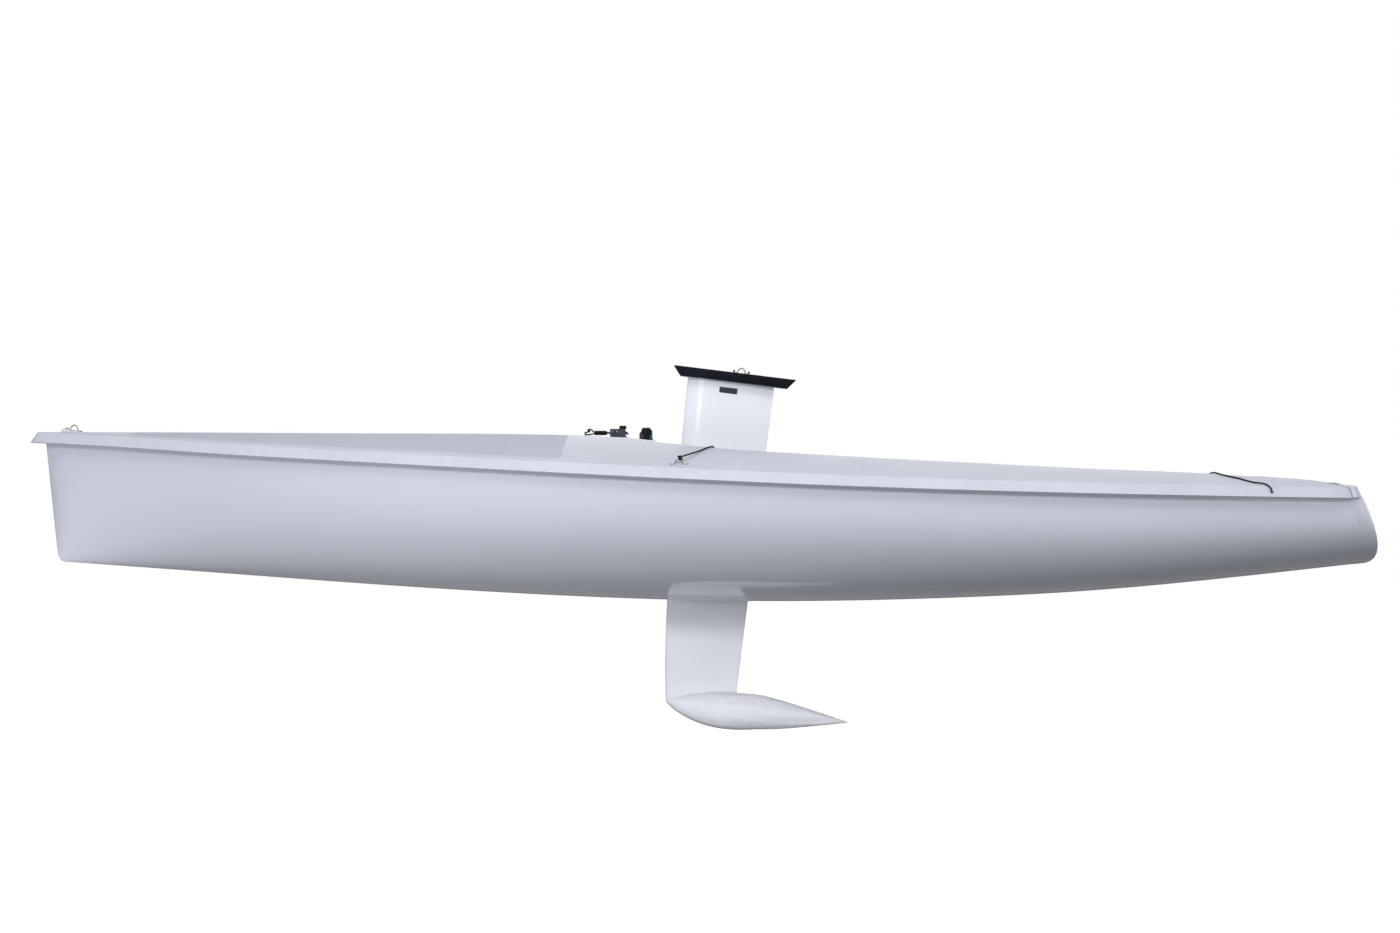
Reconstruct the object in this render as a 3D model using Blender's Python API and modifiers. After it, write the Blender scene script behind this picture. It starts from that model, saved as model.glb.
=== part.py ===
# Small racing keelboat: a moulded hull and deck with a lifting fin keel and bulb.
# Metres, +Z up, bow towards -X, starboard towards +Y. The parts are drawn in the ship's own frame,
# with X from the stem head and Z from the lowest point of the hull, under an empty that puts the
# origin on top of the mast step.
import math

import bmesh
import bpy
import numpy as np
from mathutils import Matrix, Vector

# Hull and deck mouldings
DECK_LENGTH = 5.611
BEAM = 2.10
SHELL = 0.008
DECK_SKIN = 0.008
TRANSOM_SKIN = 0.014
STEM_RAKE = math.radians(6.2)
STEM_TOP = 0.725
TRANSOM_RAKE = math.radians(23.3)
TRANSOM_TOP = 0.498
TRANSOM_RIM = 0.452
TRANSOM_CROWN = 0.005
TRANSOM_LEDGE = 0.022
SOLID_STEM = 0.06
LIP_OUT = 0.031
LIP_DROP = 0.044
LIP_FRONT = 0.029
LIP_BACK = 0.015
LIP_BACK_LIFT = 0.003
OVERHANG = 0.050
BOW_OVERHANG = 0.025
STERN_OVERHANG = 0.0125
FOREFOOT_RADIUS = 0.030

# Cockpit
COCKPIT_FRONT = 2.70
COCKPIT_AFT = 5.34
COCKPIT_WALL_RUN = 0.04
COCKPIT_CORNER = 0.33
COCKPIT_NARROWEST = 0.23
SIDE_DECK = 0.36
WALL_LEAN = 0.060
COAMING_LIP = 0.016
COAMING_TOP = 0.012
COAMING_SHOULDER = 0.070
COAMING_FALL = 0.022
FLOOR_HEIGHT = 0.31
FLOOR_FILLET = 0.022
STERN_ROLL = 0.021

# Lines plan: shares of the deck length, then heights or shares of the half beam
LINE_SHARES = (0.0, 0.07, 0.15, 0.25, 0.40, 0.55, 0.70, 0.85, 1.0)
BREADTHS = (0.081, 0.252, 0.457, 0.686, 0.895, 0.986, 1.0, 0.952, 0.829)
SHEERS = (0.7415, 0.7205, 0.691, 0.6595, 0.6146, 0.5733, 0.5418, 0.5205, 0.505)
FULLNESS = (1.75, 1.80, 1.95, 2.10, 2.25, 2.40, 2.60, 2.85, 3.05)
ROCKER_SHARES = (0.0267, 0.1248, 0.2495, 0.392, 0.570, 0.695, 0.820, 0.927, 1.025)
ROCKERS = (0.1655, 0.1255, 0.0750, 0.0275, 0.0003, 0.0135, 0.0505, 0.1075, 0.168)
CREST_SHARES = (0.0, 0.12, 0.25, 0.36, 0.43, 0.475, 0.50)
CRESTS = (0.7435, 0.7415, 0.7375, 0.7350, 0.7262, 0.7105, 0.6935)
COAMING_SHARES = (0.488, 0.508, 0.526, 0.591, 0.665, 0.739, 0.814, 0.888, 0.945, 0.971, 1.0)
COAMINGS = (0.694, 0.680, 0.6695, 0.6452, 0.622, 0.6014, 0.5806, 0.564, 0.5445, 0.536, 0.5285)

# Rows of the two mouldings, as shares of the foredeck, the cockpit and the stern deck
FORE_ROWS = (0.011, 0.033, 0.074, 0.133, 0.207, 0.296, 0.40, 0.5185, 0.648, 0.778, 0.889, 0.985, 1.0)
COCKPIT_ROWS = (0.0, 0.0195, 0.051, 0.09, 0.141, 0.238, 0.355, 0.492, 0.629, 0.746, 0.863, 0.941, 1.0)
STERN_ROWS = (0.0, 0.41, 0.74, 1.0)
BOW_BULKHEAD_SHARE = FORE_ROWS[7]
MAIN_BULKHEAD_SHARE = FORE_ROWS[11]
AFT_BULKHEAD_SHARE = COCKPIT_ROWS[10]
SECTION_STEPS = 10

# Sides of a screw, a bolt and the holes for them
FASTENER_SIDES = 10

# Clearances
GAP = 0.0003
BOND_GAP = 0.0005
RIM_GAP = 0.003
SLIDE_GAP = 0.0006

# Structure inside
BULKHEAD = 0.012
STRINGER = 0.010
STRINGER_OUT = 0.30
DRAIN_RADIUS = 0.022
DRAIN_WALL = 0.003
DRAIN_OUT = 0.32
DRAIN_ABOVE_FLOOR = 0.032
DRAIN_PROUD = 0.004

# Lifting keel: its frame has Z up along the fin and X aft along the chord, with its origin at the
# middle of the head plate's underside, in the raised position that is the rest position
KEEL_RAKE = math.radians(7.0)
KEEL_X = 3.0486
KEEL_Z = 0.9636
KEEL_DOWN = 0.31
FIN_TAIL = 0.180
BULB_DEPTH = 1.4324
FIN_INTO_BULB = 0.003
FIN_NOSES = ((0.0, -0.205), (0.48, -0.1915), (0.96, -0.178), (1.13, -0.165), (1.25, -0.153))
FIN_NOSES += ((BULB_DEPTH + FIN_INTO_BULB, -0.1283),)
FIN_THICKNESS = 0.12
FIN_SIDE_POINTS = 9
HEAD_TOP_LENGTH = 0.544
HEAD_BOTTOM_LENGTH = 0.477
HEAD_TOP_WIDTH = 0.150
HEAD_BOTTOM_WIDTH = 0.124
HEAD_THICKNESS = 0.0417
HEAD_BOLTS = (-0.150, -0.075, 0.105)
HEAD_BOLT_RADIUS = 0.006
HEAD_BOLT_LENGTH = 0.10
EYE_ON_HEAD = 0.028
BULB_LENGTH = 0.818
BULB_RADIUS = 0.0855
BULB_NOSE = -0.128
BULB_DROOP = 0.0125
BULB_SHARES = (0.002, 0.012, 0.035, 0.07, 0.12, 0.18, 0.25, 0.33, 0.42, 0.52, 0.62, 0.72)
BULB_SHARES += (0.81, 0.89, 0.95, 0.985, 0.999)
BULB_BOLTS = (0.012, 0.075)
BULB_BOLT_RADIUS = 0.005
BULB_BOLT_REACH = 0.18
PLATE_FRONT = -0.059
PLATE_BACK = 0.020
PLATE_TOP = 0.027
PLATE_BOTTOM = 0.052
PLATE_THICKNESS = 0.0012

# Keel trunk and its guides
TRUNK_FRONT = -0.215
TRUNK_BACK = 0.190
TRUNK_HALF_WIDTH = 0.033
TRUNK_WALL = 0.010
TRUNK_FLANGE = 0.018
TRUNK_FLANGE_LENGTH = 0.490
TRUNK_FLANGE_WIDTH = 0.150
GUIDE_HEIGHT = 0.060
GUIDE_BELOW_PLATE = 0.010
UPPER_GUIDE = KEEL_DOWN + PLATE_BOTTOM + GUIDE_BELOW_PLATE
LOWER_GUIDE = 0.87

# Deck fittings
EYE_BASE_LENGTH = 0.078
EYE_BASE_WIDTH = 0.022
EYE_BASE = 0.004
EYE_SCREWS = 0.065
EYE_SPAN = 0.036
EYE_HEIGHT = 0.028
EYE_WIRE = 0.003
SCREW_RADIUS = 0.0025
SCREW_HEAD_RADIUS = 0.0052
SCREW_HEAD = 0.0028
PAD_DEPTH = 0.026
PAD_MARGIN = 0.008
PAD_SIDE_MARGIN = 0.003
PAD_LEDGE = 0.001
BACKING = 0.004
CHAIN_BACKING_WIDTH = 0.012
BOW_EYE_X = 0.127
BOW_EYE_Z = 0.750
BOW_EYE_TILT = math.radians(12.0)
CHAIN_EYE_X = 2.812
CHAIN_EYE_IN = 0.072
CHAIN_PAD_Z = 0.5965

# Mast step
MAST_X = 2.660
MAST_PAD_Z = 0.7085
STEP_LENGTH = 0.062
STEP_WIDTH = 0.058
STEP_BASE = 0.006
STEP_CHEEK = 0.008
STEP_HEIGHT = 0.050
STEP_CHAMFER = 0.016
TONGUE_RADIUS = 0.0195
TONGUE_HALF_WIDTH = 0.0165
TONGUE_HEIGHT = 0.0545
TONGUE_PIVOT = 0.0265
HINGE_PIN_RADIUS = 0.004

# Cam cleat, its line and the small eye ahead of it
CLEAT_X = 2.538
CLEAT_PAD_Z = 0.7205
CLEAT_LENGTH = 0.076
CLEAT_WIDTH = 0.040
CLEAT_BASE = 0.0052
JAW_X = 2.521
JAW_HEIGHT = 0.024
JAW_RADIUS = 0.0102
JAW_TEETH = 7
JAW_TOOTH = 0.0009
JAW_SPIRAL = 0.18
JAW_PIN_RADIUS = 0.0025
FAIRLEAD_X = 2.557
FAIRLEAD_LENGTH = 0.030
FAIRLEAD_TOP = 0.7715
FAIRLEAD_HOLE = 0.0055
LINE_RADIUS = 0.003
JAW_PIVOT_OUT = LINE_RADIUS + JAW_RADIUS + JAW_TOOTH + GAP
LINE_Z = 0.7395
GRIP_RADIUS = 0.0105
GRIP_FRONT = 2.432
GRIP_BACK = 2.490
LOOP_RADIUS = 0.0015
SMALL_EYE_X = 2.395
SMALL_EYE_PAD_Z = 0.7275
SMALL_EYE_LENGTH = 0.012
SMALL_EYE_WIDTH = 0.026

# Tie cords and hiking straps
TIE_RADIUS = 0.0035
TIE_CLEARANCE = 0.001
TIE_SPACING = 0.06
FORE_TIE_CREST = 2.953
FORE_TIE_LANDING = 3.655
AFT_TIE_CREST = 5.050
AFT_TIE_LANDING = 4.745
AFT_TIE_HOLE = 5.236
AFT_TIE_DOWN = 0.58
STRAP_OUT = 0.40
STRAP_WIDTH = 0.050
STRAP_THICKNESS = 0.003
STRAP_FRONT = 3.42
STRAP_BACK = 4.98
STRAP_RISE = 0.060
STRAP_RAMP = 0.16
STRAP_END = 0.050

# Rudder gudgeons
GUDGEON_AXIS_X = 5.785
GUDGEON_HEIGHTS = (0.425, 0.225)
GUDGEON_HOLE = 0.0065
GUDGEON_EYE = 0.015
GUDGEON_THICKNESS = 0.016
GUDGEON_PLATE = 0.007
GUDGEON_ARM_START = 0.004
GUDGEON_PLATE_WIDTH = 0.090
GUDGEON_PLATE_HEIGHT = 0.050
GUDGEON_BOLTS = 0.030


def clear_scene():
    for thing in list(bpy.data.objects):
        bpy.data.objects.remove(thing)


def new_collection(name):
    collection = bpy.data.collections.new(name)
    bpy.context.scene.collection.children.link(collection)
    return collection


clear_scene()
PARTS = new_collection("racing_keelboat")
CUTTERS = new_collection("cutters")


def empty(name, location=(0, 0, 0), rotation=(0, 0, 0), parent=None):
    thing = bpy.data.objects.new(name, None)
    thing.location = location
    thing.rotation_euler = rotation
    thing.parent = parent
    PARTS.objects.link(thing)
    return thing


SHIP = empty("ship_frame", (-MAST_X, 0, -(MAST_PAD_Z + TONGUE_HEIGHT)))
KEEL = empty("keel_frame", (KEEL_X, 0, KEEL_Z), (0, KEEL_RAKE, 0), SHIP)
TRUNK = empty("trunk_frame", (KEEL_X, 0, KEEL_Z), (0, KEEL_RAKE, 0), SHIP)


def material(name, colour, roughness, metallic=0.0):
    made = bpy.data.materials.new(name)
    made.use_nodes = True
    shader = made.node_tree.nodes["Principled BSDF"]
    shader.inputs["Base Color"].default_value = (*colour, 1.0)
    shader.inputs["Roughness"].default_value = roughness
    shader.inputs["Metallic"].default_value = metallic
    return made


GELCOAT = material("hull_gelcoat", (0.60, 0.62, 0.70), 0.12)
DECK_GEL = material("deck_gelcoat", (0.56, 0.58, 0.65), 0.45)
LAMINATE = material("bare_laminate", (0.52, 0.50, 0.42), 0.6)
KEEL_PAINT = material("keel_paint", (0.72, 0.75, 0.80), 0.2)
HEAD_COAT = material("black_coated_steel", (0.012, 0.013, 0.018), 0.3, 0.6)
STAINLESS = material("stainless_steel", (0.62, 0.62, 0.60), 0.22, 1.0)
ALLOY = material("grey_alloy", (0.22, 0.24, 0.28), 0.38, 1.0)
BLACK_NYLON = material("black_nylon", (0.015, 0.016, 0.018), 0.42)
CORD = material("black_cord", (0.012, 0.014, 0.018), 0.8)
WEBBING = material("black_webbing", (0.014, 0.015, 0.018), 0.85)
GUIDE_PLASTIC = material("slide_plastic", (0.75, 0.76, 0.74), 0.5)
PLATE_FOIL = material("grey_foil", (0.10, 0.11, 0.12), 0.4, 0.5)


def natural_spline(xs, ys):
    """A smooth curve through the points, straight past its ends."""
    xs, ys = np.array(xs, float), np.array(ys, float)
    steps, count = np.diff(xs), len(xs)
    system, right = np.eye(count), np.zeros(count)
    for i in range(1, count - 1):
        system[i, i - 1:i + 2] = steps[i - 1], 2 * (steps[i - 1] + steps[i]), steps[i]
        right[i] = 6 * ((ys[i + 1] - ys[i]) / steps[i] - (ys[i] - ys[i - 1]) / steps[i - 1])
    bends = np.linalg.solve(system, right)

    def value(x):
        i = int(np.clip(np.searchsorted(xs, x) - 1, 0, count - 2))
        h = steps[i]
        if x < xs[0] or x > xs[-1]:
            end = 0 if x < xs[0] else count - 1
            slope = (ys[i + 1] - ys[i]) / h - h / 6 * (2 * bends[i] + bends[i + 1])
            if end:
                slope = (ys[i + 1] - ys[i]) / h + h / 6 * (bends[i] + 2 * bends[i + 1])
            return float(ys[end] + slope * (x - xs[end]))
        a, b = (xs[i + 1] - x) / h, (x - xs[i]) / h
        cubic = (a ** 3 - a) * bends[i] + (b ** 3 - b) * bends[i + 1]
        return float(a * ys[i] + b * ys[i + 1] + cubic * h * h / 6)

    return value


def smooth_step(share):
    share = min(max(share, 0.0), 1.0)
    return share * share * (3 - 2 * share)


breadth_line = natural_spline(LINE_SHARES, BREADTHS)
sheer_line = natural_spline(LINE_SHARES, SHEERS)
fullness_line = natural_spline(LINE_SHARES, FULLNESS)
rocker_line = natural_spline(ROCKER_SHARES, ROCKERS)
crest_line = natural_spline(CREST_SHARES, CRESTS)
coaming_line = natural_spline(COAMING_SHARES, COAMINGS)

COCKPIT_START = COCKPIT_FRONT + COCKPIT_WALL_RUN
COCKPIT_END = COCKPIT_AFT - COCKPIT_WALL_RUN
RAKE_START = COCKPIT_START + AFT_BULKHEAD_SHARE * (COCKPIT_END - COCKPIT_START) + BULKHEAD


def row_positions():
    fore = [share * COCKPIT_FRONT for share in FORE_ROWS]
    middle = [COCKPIT_START + share * (COCKPIT_END - COCKPIT_START) for share in COCKPIT_ROWS]
    stern = [COCKPIT_AFT + share * (DECK_LENGTH - COCKPIT_AFT) for share in STERN_ROWS]
    return fore + middle + stern


ROWS = row_positions()


def lip_half_breadth(x):
    return breadth_line(x / DECK_LENGTH) * BEAM / 2


def overhang(x):
    bow = BOW_OVERHANG * max(0.0, 1 - x / (3 * SOLID_STEM / 2)) ** 2
    stern_start = ROWS[-2]
    stern = smooth_step((x - stern_start) / (DECK_LENGTH - stern_start))
    return (OVERHANG + bow) * (1 - stern) + STERN_OVERHANG * stern


def crest_height(x):
    """Height of the foredeck's middle, or of the coaming and stern deck aft of it."""
    if x <= COCKPIT_FRONT:
        return crest_line(x / DECK_LENGTH)
    roll_start = COCKPIT_AFT + STERN_ROWS[1] * (DECK_LENGTH - COCKPIT_AFT)
    roll = STERN_ROLL * (max(0.0, x - roll_start) / (DECK_LENGTH - roll_start)) ** 2
    return coaming_line(x / DECK_LENGTH) - roll


def coaming_half_breadth(x):
    full = lip_half_breadth(x) - SIDE_DECK
    run = (COCKPIT_START + COCKPIT_CORNER - x) / COCKPIT_CORNER
    if run <= 0:
        return full
    return COCKPIT_NARROWEST + (full - COCKPIT_NARROWEST) * math.sqrt(max(0.0, 1 - min(run, 1.0) ** 2))


def deck_section(x):
    """Top of the deck from the middle out to the lip, as (y, z) pairs."""
    lip = lip_half_breadth(x)
    crease, crease_z, crest = lip - LIP_OUT, sheer_line(x / DECK_LENGTH), crest_height(x)
    inner = coaming_half_breadth(max(x, COCKPIT_START))
    floor_edge = inner - WALL_LEAN
    cockpit_y = [0.0, floor_edge, floor_edge + FLOOR_FILLET, inner - COAMING_LIP, inner + COAMING_TOP]
    cockpit_y.append(inner + COAMING_SHOULDER)
    cockpit_y.append((cockpit_y[-1] + crease) / 2)
    if x <= COCKPIT_FRONT:
        even = [share * crease for share in (0.0, 0.2, 0.36, 0.5, 0.62, 0.74, 0.88)]
        blend = smooth_step((x - 0.72 * COCKPIT_FRONT) / (0.28 * COCKPIT_FRONT))
        ys = [a * (1 - blend) + b * blend for a, b in zip(even, cockpit_y)]
        zs = [crest - (crest - crease_z) * (y / crease) ** 2.2 for y in ys]
    else:
        ys = cockpit_y
        power = 1.3 + 0.7 * (1 - smooth_step((x - COCKPIT_START) / 0.6))
        zs = [crest - (crest - crease_z) * ((y - ys[4]) / (crease - ys[4])) ** power for y in ys[4:]]
        if COCKPIT_START - 1e-6 <= x <= COCKPIT_END + 1e-6:
            low = [FLOOR_HEIGHT, FLOOR_HEIGHT, FLOOR_HEIGHT + FLOOR_FILLET, crest - COAMING_FALL]
        else:
            low = [crest + 0.008 * (1 - (y / ys[4]) ** 2) * (DECK_LENGTH - x) / 0.27 for y in ys[:4]]
        zs = low + zs
    return [*zip(ys, zs), (crease, crease_z), (lip, crease_z - LIP_DROP)]


def offset_section(points, distance):
    """The section moved inwards and down by a distance, with mitred corners."""
    flat = [Vector(p) for p in points]
    chain = [Vector((-flat[1].x, flat[1].y))] + flat
    out = []
    for i in range(1, len(chain)):
        before = (chain[i] - chain[i - 1]).normalized()
        after = (chain[i + 1] - chain[i]).normalized() if i + 1 < len(chain) else before
        normal = (Vector((before.y, -before.x)) + Vector((after.y, -after.x))).normalized()
        out.append(chain[i] + normal * distance / max(0.4, normal.dot(Vector((before.y, -before.x)))))
    return out


def under_deck(x, y, distance):
    """Height of the deck's underside, a distance inside its top, at a half-breadth."""
    section = offset_section(deck_section(x), distance)
    for near, far in reversed(list(zip(section, section[1:]))):
        if near.x <= y <= far.x:
            return near.y + (far.y - near.y) * (y - near.x) / (far.x - near.x)
    return section[-1].y


def bow_share(x):
    return max(0.0, 1 - x / 0.45) ** 2


def stern_share(x):
    return max(0.0, (x - RAKE_START) / (DECK_LENGTH - RAKE_START))


def raked(x, z):
    """The place along the hull of a point at this height, on a raked section."""
    bow = bow_share(x) * math.tan(STEM_RAKE) * (STEM_TOP - z)
    return x + bow + stern_share(x) * math.tan(TRANSOM_RAKE) * (TRANSOM_TOP - z)


def keel_height(x):
    along = raked(x, rocker_line(x / DECK_LENGTH))
    start = raked(0.0, ROCKERS[0])
    left = min(FOREFOOT_RADIUS, FOREFOOT_RADIUS - (along - start))
    lift = FOREFOOT_RADIUS - math.sqrt(FOREFOOT_RADIUS ** 2 - left ** 2) if left > 0 else 0.0
    return rocker_line(along / DECK_LENGTH) + lift


def half_section(x, inset, keel_inset, rim):
    """Half of a hull section from the keel up to its top edge."""
    breadth = lip_half_breadth(x) - overhang(x) - inset
    low = keel_height(x) + keel_inset
    power = 2 / fullness_line(x / DECK_LENGTH)
    points = []
    for i in range(SECTION_STEPS + 1):
        angle = math.pi / 2 * i / SECTION_STEPS
        y = breadth * math.sin(angle) ** power if i else 0.0
        depth = math.cos(angle) ** power if i < SECTION_STEPS else 0.0
        points.append((y, rim - (rim - low) * depth))
    return points


def outer_ring(x):
    breadth = lip_half_breadth(x) - overhang(x)
    rim = under_deck(x, breadth, DECK_SKIN + RIM_GAP)
    half = half_section(x, 0.0, 0.0, rim)
    inner = max(breadth - 0.03, breadth * 0.4)
    shelf = min(under_deck(x, inner, DECK_SKIN + RIM_GAP), rim + 0.03)
    if x > DECK_LENGTH - 1.5 * TRANSOM_LEDGE:
        half, shelf = half_section(x, 0.0, 0.0, TRANSOM_RIM), TRANSOM_RIM + TRANSOM_CROWN
    half += [(inner, shelf), (0.0, shelf)]
    return close_ring(half, x)


def close_ring(half, x):
    """A whole closed ring from a half one, whose first and last points lie on the middle line."""
    other = [(-y, z) for y, z in half[1:-1]][::-1]
    return [(raked(x, z), y, z) for y, z in half + other]


def cavity_ring(x, extra, ceiling):
    flare = SHELL * (1 + 1.2 * bow_share(x * 0.5))
    rim = under_deck(x, lip_half_breadth(x) - overhang(x), DECK_SKIN)
    half = half_section(x, SHELL + extra, flare + extra, rim)
    half += [(half[-1][0], rim + ceiling), (0.0, rim + ceiling)]
    return close_ring(half, x)


def make_object(name, mesh, look, parent=SHIP, collection=PARTS):
    thing = bpy.data.objects.new(name, mesh)
    thing.parent = parent
    collection.objects.link(thing)
    if look:
        mesh.materials.append(look)
    if collection is CUTTERS:
        thing.hide_render = True
        thing.display_type = "WIRE"
    return thing


def loft(name, rings, look, parent=SHIP, collection=PARTS):
    """A closed solid through rings of points, with flat ends."""
    count = len(rings[0])
    verts = [point for ring in rings for point in ring]
    faces = [tuple(reversed(range(count))), tuple(range(len(verts) - count, len(verts)))]
    for row in range(len(rings) - 1):
        for i in range(count):
            a, b = row * count + i, row * count + (i + 1) % count
            faces.append((a, b, b + count, a + count))
    mesh = bpy.data.meshes.new(name)
    mesh.from_pydata([tuple(v) for v in verts], [], faces)
    fix_normals(mesh)
    return make_object(name, mesh, look, parent, collection)


def fix_normals(mesh):
    """Turns the faces outwards and splits them into triangles, which a Boolean cuts cleanly."""
    bm = bmesh.new()
    bm.from_mesh(mesh)
    bmesh.ops.triangulate(bm, faces=bm.faces)
    bmesh.ops.recalc_face_normals(bm, faces=bm.faces)
    bm.to_mesh(mesh)
    bm.free()


def smooth(thing, degrees=35):
    thing.data.shade_smooth()
    thing.data.set_sharp_from_angle(angle=math.radians(degrees))


def box_into(bm, size, matrix):
    bmesh.ops.create_cube(bm, size=1.0, matrix=matrix @ Matrix.Diagonal((*size, 1.0)))


def turned_into(bm, profile, matrix, segments=12):
    """A turned solid into bm: (radius, height) pairs from its top to its bottom."""
    rings = []
    for radius, height in profile:
        turn = [2 * math.pi * i / segments for i in range(segments)]
        points = [(radius * math.cos(a), radius * math.sin(a), height) for a in turn]
        rings.append([bm.verts.new(matrix @ Vector(p)) for p in points])
    bm.faces.new(rings[0])
    bm.faces.new(reversed(rings[-1]))
    for upper, lower in zip(rings, rings[1:]):
        for i in range(segments):
            j = (i + 1) % segments
            bm.faces.new((upper[i], lower[i], lower[j], upper[j]))


def prism_into(bm, outline, low, high, matrix):
    """A flat outline, anticlockwise, drawn up from low to high."""
    bottom = [bm.verts.new(matrix @ Vector((*p, low))) for p in outline]
    top = [bm.verts.new(matrix @ Vector((*p, high))) for p in outline]
    bm.faces.new(reversed(bottom))
    bm.faces.new(top)
    for i in range(len(outline)):
        j = (i + 1) % len(outline)
        bm.faces.new((bottom[i], bottom[j], top[j], top[i]))


def finish(bm, name, look, parent=SHIP, collection=PARTS, sharp=35):
    bmesh.ops.recalc_face_normals(bm, faces=bm.faces)
    mesh = bpy.data.meshes.new(name)
    bm.to_mesh(mesh)
    bm.free()
    thing = make_object(name, mesh, look, parent, collection)
    smooth(thing, sharp)
    return thing


def boolean(thing, other, operation="DIFFERENCE"):
    step = thing.modifiers.new(operation.lower() + "_" + other.name, "BOOLEAN")
    step.operation = operation
    step.solver = "EXACT"
    step.object = other


def weld(thing):
    step = thing.modifiers.new("weld", "WELD")
    step.merge_threshold = 0.00005


def bevel(thing, width, segments=2, angle=50):
    step = thing.modifiers.new("bevel", "BEVEL")
    step.width = width
    step.segments = segments
    step.limit_method = "ANGLE"
    step.angle_limit = math.radians(angle)


def at(x, y, z, tilt=0.0):
    """A place in the ship's frame, tilted about Y."""
    return Matrix.Translation((x, y, z)) @ Matrix.Rotation(tilt, 4, "Y")


def local(x, y, z):
    return Matrix.Translation((x, y, z))


# Holes that fasteners, pins and cords need, as (profile, place) pairs, by solid and frame
HOLES = {}


def hole(names, radius, top, bottom, place, parent=SHIP):
    drill(names, [(radius, top), (radius, bottom)], place, parent)


def drill(names, profile, place, parent=SHIP):
    for name in names:
        HOLES.setdefault((name, parent.name), []).append((profile, place))


def drill_all():
    for (name, frame), holes in HOLES.items():
        bm = bmesh.new()
        for profile, place in holes:
            turned_into(bm, profile, place, FASTENER_SIDES)
        cutter = finish(bm, "drill_" + name + "_" + frame, None, bpy.data.objects[frame], CUTTERS)
        boolean(bpy.data.objects[name], cutter)


def make_screw(name, place, length, radius=SCREW_RADIUS, head=SCREW_HEAD_RADIUS, rise=SCREW_HEAD):
    """A dome-headed screw with a driver socket, its head standing on the plane z = GAP."""
    bm = bmesh.new()
    socket = head * 0.42
    profile = [(socket, rise * 0.45), (socket, rise), (head * 0.72, rise * 0.92), (head, rise * 0.35)]
    profile += [(head, GAP), (radius, GAP), (radius, -length), (radius * 0.5, -length - radius * 0.6)]
    turned_into(bm, profile, place, FASTENER_SIDES)
    finish(bm, name, STAINLESS)


def wire_mesh(points, radius, sides):
    """A tube along a smooth row of points, with filled ends, as a welded mesh."""
    curve = bpy.data.curves.new("wire", "CURVE")
    curve.dimensions = "3D"
    curve.bevel_depth = radius
    curve.bevel_resolution = sides
    curve.use_fill_caps = True
    spline = curve.splines.new("POLY")
    spline.points.add(len(points) - 1)
    for dot, point in zip(spline.points, points):
        dot.co = (*point, 1.0)
    holder = bpy.data.objects.new("wire", curve)
    bpy.context.scene.collection.objects.link(holder)
    bpy.context.view_layer.update()
    ready = holder.evaluated_get(bpy.context.evaluated_depsgraph_get())
    mesh = bpy.data.meshes.new_from_object(ready)
    bm = bmesh.new()
    bm.from_mesh(mesh)
    bmesh.ops.remove_doubles(bm, verts=bm.verts, dist=1e-5)
    bmesh.ops.recalc_face_normals(bm, faces=bm.faces)
    bm.to_mesh(mesh)
    bm.free()
    bpy.data.objects.remove(holder)
    bpy.data.curves.remove(curve)
    return mesh


def through_points(route, spacing):
    """Points of a smooth curve through the route, about a spacing apart."""
    dots = [Vector(p) for p in route]
    dots = [2 * dots[0] - dots[1]] + dots + [2 * dots[-1] - dots[-2]]
    out = []
    for i in range(1, len(dots) - 2):
        a, b, c, d = dots[i - 1:i + 3]
        steps = max(1, round((c - b).length / spacing))
        for k in range(steps):
            t = k / steps
            bend = (2 * a - 5 * b + 4 * c - d) * t * t + (3 * b - a - 3 * c + d) * t ** 3
            out.append((2 * b + (c - a) * t + bend) * 0.5)
    return out + [dots[-2]]


def cord(name, route, radius, spacing):
    thing = make_object(name, wire_mesh(through_points(route, spacing), radius, 1), CORD)
    thing.data.shade_smooth()


def make_hull():
    stations = [0.0] + ROWS[:-1] + [DECK_LENGTH - TRANSOM_LEDGE, DECK_LENGTH]
    rings = [outer_ring(x) for x in stations]
    hull = loft("hull_shell", rings, GELCOAT)
    inside_rows = [SOLID_STEM] + [x for x in ROWS if SOLID_STEM < x < DECK_LENGTH - 0.03]
    inside_rows.append(DECK_LENGTH - TRANSOM_SKIN)
    inside = loft("hull_inside", [cavity_ring(x, 0.0, 0.3) for x in inside_rows], None, SHIP, CUTTERS)
    boolean(hull, pad_boxes("pad_clearance", PAD_LEDGE + BOND_GAP, -PAD_DEPTH - BOND_GAP, PAD_DEPTH))
    boolean(hull, inside)
    weld(hull)
    loft("fit_inside_hull", [cavity_ring(x, BOND_GAP, 0.3) for x in inside_rows], None, SHIP, CUTTERS)
    bm = bmesh.new()
    middle = (TRUNK_FRONT + TRUNK_BACK) / 2
    size = (TRUNK_BACK - TRUNK_FRONT, 2 * TRUNK_HALF_WIDTH, 0.30)
    box_into(bm, size, local(middle, 0, -KEEL_Z))
    boolean(hull, finish(bm, "keel_slot", None, TRUNK, CUTTERS))
    smooth(hull, 30)


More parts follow.
